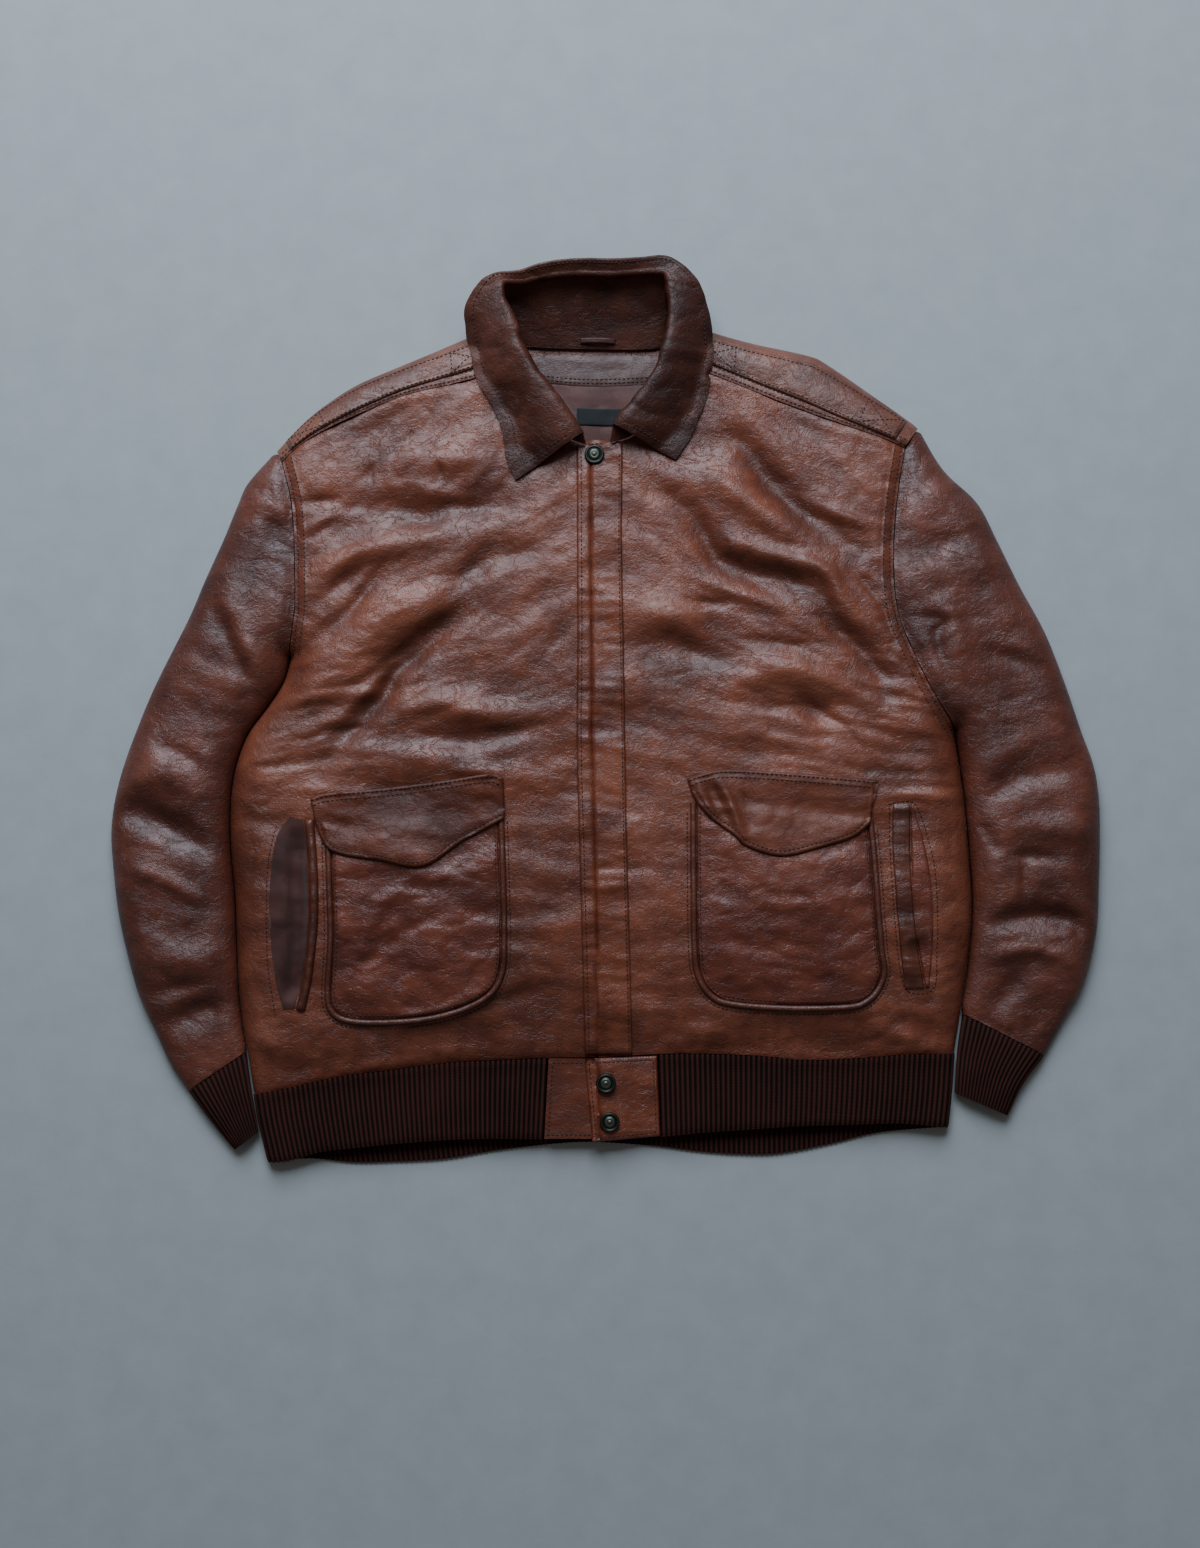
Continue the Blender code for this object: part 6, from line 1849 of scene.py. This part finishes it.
@dataclass
class Collar:
    """The collar: a stand that rises from the neck seam, and leaves that fall from its roll."""

    neck: Points
    roll: Points
    edge: Points
    roll_z: tuple[float, ...]
    edge_z: tuple[float, ...]
    stand: tuple = ((0.0, 0.0), (0.45, 0.24), (0.85, 0.52), (1.0, 0.82))
    fall: tuple = ((0.1, 0.0), (0.35, 0.15), (0.68, 0.55), (1.0, 1.0))
    half_thickness: float = 1.6
    clear: float = 0.6
    least_stand: float = 7.0
    margin: float = 3.0
    rows_finer: int = 9
    columns_finer: int = 5

    def middle(self, bench: Bench) -> Array:
        """Return the middle of the collar's wall at its listed stations."""
        neck, roll, edge = (np.array(p, float) for p in (self.neck, self.roll, self.edge))
        steps = ((0, 0), (self.margin, 0), (-self.margin, 0), (0, self.margin), (0, -self.margin))
        below = [max(bench.height(x + dx, y + dy) for dx, dy in steps) for x, y in neck]
        neck_z = np.array(below) + self.clear + self.half_thickness
        roll_z = np.maximum(np.array(self.roll_z, float), neck_z + self.least_stand)
        edge_z = np.array(self.edge_z, float)
        lines = []
        for share, rise in self.stand:
            lines.append(np.column_stack([neck + share * (roll - neck), neck_z + rise * (roll_z - neck_z)]))
        for share, drop in self.fall:
            lines.append(np.column_stack([roll + share * (edge - roll), roll_z + drop * (edge_z - roll_z)]))
        return np.stack(lines, axis=1)

    def build(self, bench: Bench, sewing: Sewing) -> None:
        """Make the collar and its edge stitches."""
        coarse = self.middle(bench)
        rows = smooth(coarse.reshape(coarse.shape[0], -1), self.rows_finer)
        rows = rows.reshape(-1, coarse.shape[1], 3)
        fine = np.stack([smooth(row, self.columns_finer) for row in rows])
        normals = unit_normals(fine)
        wear = worn(fine[..., :2], 111.0, 0.9)
        ends = np.arange(fine.shape[0])
        from_end = np.minimum(ends, ends[::-1])[:, None]
        calm = np.clip(np.arange(fine.shape[1]) / 6.0, 0, 1)[None, :] * np.clip(from_end / 6.0, 0.3, 1)
        fine = fine + normals * (wear * calm)[..., None]
        least = bench.heights(fine[..., :2]) + 0.5 + self.half_thickness
        fine[..., 2] = np.maximum(fine[..., 2], softened(least, 2))
        normals = unit_normals(fine)
        rim = np.minimum(np.arange(fine.shape[1])[::-1] * 1.3, 3.0)[None, :] / 3.0
        rim = np.minimum(rim, np.minimum(from_end * 1.3, 3.0) / 3.0)
        thick = self.half_thickness * (0.45 + 0.55 * np.sqrt(1 - (1 - rim) ** 2))[..., None]
        # Painted light and shade that follow the collar's small relief
        crest = np.clip(0.9 * wear, -1, 1)
        bench.shell("collar", fine + thick * normals, "collar_leather", "collar_leather", crest,
                    inner=fine - thick * normals, rests_on=("front_right", "front_left"), held=Held.FOLDED)
        self.sew_edge(sewing, fine + (thick + 0.15) * normals)

    def sew_edge(self, sewing: Sewing, top: Array) -> None:
        """Sew a line inside the collar's outer edge and its two front ends."""
        inset = 3
        line = np.vstack([top[inset, -14:-inset], top[inset:-inset, -inset - 1],
                          top[-inset - 1, -inset - 1:-14:-1]])
        edges = [(k, k + 1) for k in range(len(line) - 1)]
        sewing.sew_points("collar", line, edges)


@dataclass
class NeckInside:
    """The facing inside the back neck, the lining below it, the bare label and the loop."""

    facing_top: Points
    facing_low: Points
    lining_low: Points
    label_size: tuple[float, float]
    label_centre: tuple[float, float]
    loop_ends: tuple
    loop_half: float = 2.5

    def build(self, bench: Bench, sewing: Sewing) -> None:
        """Make the pieces that show inside the neck."""
        top, low = smooth(self.facing_top), smooth(self.facing_low)
        plan = between_lines(low, top, 70, even(16))
        bench.laid("neck_facing", plan, 1.2, "facing_leather", "collar_leather",
                   edge=1.5, stitch=2.4, seed=121.0, amount=0.5)
        sewing.sew("neck_facing", [low + np.array([0.0, 2.6]), low + np.array([0.0, 6.0])])
        hem = smooth(self.lining_low)
        columns, rows = even(84), even(50)
        plan = between_lines(hem, low - np.array([0.0, SEAM_GAP]), 84, rows)
        wave = 2.0 * np.outer(np.sin(math.pi * rows), 1 + np.cos(5 * math.pi * columns)) * 0.5
        wave += 1.2 * np.abs(rumple(plan, 18.0, 34.0, 123.0))
        bench.laid("lining", plan, 1.0, "lining_cloth", "lining_cloth", rise=wave, edge=1.0, stitch=0.0,
                   seed=123.0, amount=0.6, bridge=0)
        self.label(bench, sewing)

    def label(self, bench: Bench, sewing: Sewing) -> None:
        """Make the bare woven label, sewn along its two ends."""
        width, depth = self.label_size
        x, y = self.label_centre
        a, b, c, d = x - width / 2, x + width / 2, y - depth / 2, y + depth / 2
        plan = quad_patch(((a, c), (b, c), (b, d), (a, d)), 50, 18)
        bench.laid("label", plan, 0.9, "label_cloth", "label_cloth", edge=1.0, stitch=0.0, seed=125.0,
                   amount=0.1, bridge=10, rests_on=("lining",))
        sewing.sew("label", [np.array([(x, c + 1.2), (x, d - 1.2)]) for x in (a + 1.6, b - 1.6)], 2.2, 0.5)

    def loop(self, bench: Bench) -> None:
        """Make the hanger loop across the back neck seam."""
        (x0, y0), (x1, y1) = self.loop_ends
        h = self.loop_half
        plan = quad_patch(((x0, y0 - h), (x1, y1 - h), (x1, y1 + h), (x0, y0 + h)), 40, 8)
        arch = 2.5 * np.sin(math.pi * even(40))[None, :]
        bench.laid("hanger_loop", plan, 1.6, "facing_leather", "collar_leather", rise=arch, edge=1.2,
                   stitch=0.0, seed=127.0, amount=0.2, bridge=10, rests_on=("collar",))
        bench.join_to("collar", "hanger_loop")


@dataclass
class Snap:
    """A ringed snap cap with a nub in its middle."""

    name: str
    centre: tuple[float, float]
    radius: float = 8.75
    segments: int = 48

    def build(self, bench: Bench) -> None:
        """Make the cap from its profile, under its whole rim."""
        profile = [(8.75, 0.0), (8.75, 0.9), (8.5, 1.5), (8.0, 1.95), (7.4, 2.15), (6.8, 2.0), (6.3, 1.6),
                   (5.9, 1.35), (5.4, 1.35), (4.9, 1.75), (4.3, 2.15), (3.5, 2.45), (2.8, 2.5), (2.3, 2.3),
                   (2.0, 2.35), (1.6, 2.7), (1.0, 2.95), (0.4, 3.05)]
        turns = np.linspace(0, 2 * math.pi, self.segments, endpoint=False)
        x, y = self.centre
        rim = [bench.height(x + r * math.cos(t), y + r * math.sin(t))
               for t in turns[::2] for r in (0.0, 0.5 * self.radius, self.radius)]
        base = max(rim) + 0.1
        points, crest = [], []
        for radius, height in profile:
            points += [(x + radius * math.cos(t), y + radius * math.sin(t), base + height) for t in turns]
            crest += [1.0 if height > 2.05 else -0.6] * self.segments
        faces = drum_faces(len(profile), self.segments)
        made = plain_mesh("worn_" + self.name, np.array(points), faces, bench.looks["antique_metal"],
                          {"crest": np.array(crest)})
        bench.add(self.name, made, "antique_metal", None)


# The studio

@dataclass
class Studio:
    """Floor, lights and a camera at the photograph's angle."""

    target: tuple[float, float, float] = (-0.004, -0.057, 0.0)
    distance: float = 1.8
    elevation: float = 86.0
    roll: float = 1.0
    picture_height: float = 1.393

    def build(self) -> None:
        """Make the floor, the lights and the camera."""
        size = 6.0
        mesh = bpy.data.meshes.new("floor")
        corners = [(-size, -size, 0.0), (size, -size, 0.0), (size, size, 0.0), (-size, size, 0.0)]
        mesh.from_pydata(corners, [], [[0, 1, 2, 3]])
        mesh.materials.append(Floor("pale_floor", (150, 154, 155), (157, 161, 162)).make())
        put("floor", mesh)
        self.light("window", (-0.3, 1.95, 1.7), 1.9, 116.0, (0.74, 0.87, 1.0))
        world = bpy.data.worlds.new("room")
        world.use_nodes = True
        sky = world.node_tree.nodes["Background"]
        sky.inputs["Color"].default_value = (1.0, 0.96, 0.92, 1.0)
        sky.inputs["Strength"].default_value = 0.14
        bpy.context.scene.world = world
        self.camera()

    def light(self, name: str, place: tuple[float, float, float], size: float, power: float,
              colour: tuple[float, float, float]) -> None:
        """Make a soft square light that faces the jacket."""
        lamp = bpy.data.lights.new(name, "AREA")
        lamp.shape = "SQUARE"
        lamp.size = size
        lamp.energy = power
        lamp.color = colour
        made = put(name, lamp)
        made.location = place
        made.rotation_euler = (Vector(self.target) - Vector(place)).to_track_quat("-Z", "Y").to_euler()

    def camera(self) -> None:
        """Make the camera over the jacket, a little from the hem side."""
        data = bpy.data.cameras.new("camera")
        data.sensor_width = 36.0
        data.lens = 36.0 * self.distance / self.picture_height
        made = put("camera", data)
        tilt = math.radians(self.elevation)
        made.location = Vector(self.target) + self.distance * Vector((0.0, -math.cos(tilt), math.sin(tilt)))
        made.rotation_euler = (math.radians(90.0 - self.elevation), 0.0, math.radians(self.roll))
        bpy.context.scene.camera = made


def build_jacket(bench: Bench) -> None:
    """Build the jacket from its back upwards.

    Args:
        bench: Where the pieces are laid.
    """
    sewing, ribs = Sewing(bench), RibTree()
    BackPanel([(-97, 343), (-88, 334), (-60, 331), (-19, 331), (32, 332), (52, 337), (57, 354)]).build(bench)
    neck = NeckInside(
        facing_top=[(-84, 321), (-50, 324), (-19, 324), (20, 325), (47, 323)],
        facing_low=[(-86, 303), (-67, 299), (-22, 296), (34, 299), (52, 303)],
        lining_low=[(-92, 216), (-22, 208), (52, 216)],
        label_size=(48.0, 16.0), label_centre=(-9, 267), loop_ends=((-31, 336), (1, 336)))
    neck.build(bench, sewing)
    for half in (RIGHT, LEFT):
        Front(half).build(bench, sewing)
        Shoulder(half).build(bench, sewing)
        Sleeve(half).build(bench)
        Cuff(half).build(bench, ribs)
    Waistband(
        back_low=[(-294, -404), (-256, -401), (-220, -404), (-184, -403), (-139, -400), (-94, -392),
                  (-40, -385), (-4, -383), (50, -386), (86, -390), (122, -392), (158, -391),
                  (203, -382), (248, -371), (308, -365)],
        end_right=[(-51.0, -382.0), (-48.5, -312.0)], end_left=[(54.0, -378.0), (50.5, -307.0)],
    ).build(bench, ribs)
    WaistTabs(inner=((-49.5, -382), (-2, -381), (-4, -311), (-47, -311.5)),
              outer=((-7, -384), (53, -378), (49, -307.5), (-15, -311))).build(bench, sewing)
    Placket(
        edge_in=[(-32, 236), (-30, 145), (-28, 55), (-27, -35), (-23, -125), (-19, -215), (-15, -308)],
        edge_out=[(9, 236), (10, 145), (13, 55), (16, -35), (19, -125), (23, -215), (27, -307)],
        top=[(-32, 236), (-26, 243), (-12, 246), (3, 243), (9, 236)]).build(bench, sewing)
    PatchPocket(
        half=RIGHT, corners=(0.33, 0.68),
        outline=[(-248, -112), (-245, -163), (-243, -211), (-245, -256), (-241, -274), (-227, -283),
                 (-198, -285), (-155, -281), (-120, -271), (-96, -256), (-86, -235), (-85, -205),
                 (-87, -151), (-90, -95)],
        flap_top=[(-261, -86), (-245, -81), (-200, -76), (-155, -70), (-105, -62), (-91, -65)],
        flap_low=[(-256, -108), (-248, -126), (-234, -135), (-200, -140), (-160, -145), (-126, -122),
                  (-89, -101)],
        folds=[Fold([(-155, -142), (-195, -178), (-221, -231)], 7, 2.4),
               Fold([(-141, -181), (-186, -211), (-227, -249)], 6, -2.0)],
        flap_folds=[Fold([(-250, -100), (-215, -104), (-180, -108)], 5, 1.0)]).build(bench, sewing)
    PatchPocket(
        half=LEFT, corners=(0.34, 0.69),
        outline=[(74, -84), (75, -142), (77, -210), (81, -237), (93, -255), (112, -263), (161, -266),
                 (216, -264), (234, -258), (245, -246), (250, -230), (247, -210), (243, -170),
                 (239, -124), (236, -96)],
        flap_top=[(71, -63), (81, -59), (106, -54), (161, -56), (234, -61), (237, -65)],
        flap_low=[(75, -76), (88, -94), (112, -112), (124, -122), (154, -130), (188, -122),
                  (218, -112), (233, -100)],
        folds=[Fold([(100, -150), (150, -172), (210, -176)], 8, 1.8),
               Fold([(96, -200), (140, -214), (190, -212)], 7, -1.6)],
        flap_folds=[Fold([(98, -62), (110, -85), (119, -112)], 4.5, 5.0),
                    Fold([(90, -64), (98, -88), (110, -106)], 4.0, -3.0),
                    Fold([(78, -64), (86, -80), (97, -97)], 4.5, 3.4),
                    Fold([(122, -58), (126, -84), (128, -112)], 5.0, -1.6)]).build(bench, sewing)
    HandPockets(
        mouth=[(-279, -103), (-289, -118), (-294, -151), (-294, -196), (-289, -240), (-281, -272)],
        welt=[(-262, -105), (-257, -151), (-256, -196), (-260, -240), (-266, -272)],
        left_in=[(253, -82), (253, -124), (258, -185), (264, -234), (266, -244)],
        left_out=[(268, -82), (269, -142), (274, -194), (283, -243)],
        leaf=[(271, -84), (281, -118), (288, -161), (289, -203), (287, -243)],
        frame_right=[(-291, -112), (-297, -147), (-297, -190), (-295, -233), (-288, -276)],
        frame_left=[(250, -82), (258, -80), (272, -81), (282, -104), (290, -138), (293, -176), (293, -215),
                    (291, -244), (270, -247), (262, -232), (256, -190), (251, -128), (250, -86)],
    ).build(bench, sewing)
    Collar(
        neck=[(-24, 236), (-44, 244), (-60, 258), (-74, 274), (-85, 291), (-92, 305), (-97, 320),
              (-97, 331), (-93, 333), (-87, 332), (-76, 331), (-49, 330), (-19, 330), (9, 330),
              (32, 331), (45, 333), (53, 333), (58, 331), (61, 325), (60, 312), (56, 294),
              (48, 276), (35, 258), (16, 244), (-2, 237)],
        roll=[(-27, 243), (-38, 257), (-52, 277), (-63, 293), (-72, 307), (-80, 321), (-86, 336),
              (-92, 352), (-98, 366), (-99, 377), (-83, 379), (-62, 384), (-36, 387), (-4, 387),
              (24, 389), (43, 388), (46, 380), (47, 370), (48, 358), (47, 343), (43, 323),
              (36, 303), (25, 284), (12, 266), (1, 251)],
        edge=[(-86, 202), (-96, 224), (-99, 247), (-110, 271), (-121, 291), (-128, 316),
              (-134, 338), (-134, 359), (-121, 379), (-106, 387), (-85, 390), (-67, 396),
              (-40, 400), (-4, 401), (23, 403), (45, 405), (61, 397), (75, 382), (84, 361),
              (89, 338), (89, 316), (86, 291), (79, 266), (70, 243), (57, 223)],
        roll_z=(45, 47, 49, 50, 50, 50, 49, 48, 46, 43, 40, 39, 39, 39, 40, 42, 44, 46, 48, 49, 50, 50,
                49, 47, 45),
        edge_z=(20, 20, 20, 20, 20, 20, 28, 34, 40, 43, 45, 46, 46, 46, 45, 44, 42, 38, 33, 27, 20, 20,
                20, 20, 20)).build(bench, sewing)
    neck.loop(bench)
    for place, centre in (("top", (-16, 226)), ("tab_upper", (4, -332)), ("tab_lower", (8, -366))):
        Snap("snap_" + place, centre).build(bench)


def main() -> None:
    """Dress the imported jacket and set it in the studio."""
    logging.basicConfig(level=logging.INFO, format="%(name)s: %(message)s")
    Studio().build()
    bench = Bench(Wardrobe())
    build_jacket(bench)
    bench.declare()
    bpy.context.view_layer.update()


if __name__ == "__main__":
    main()
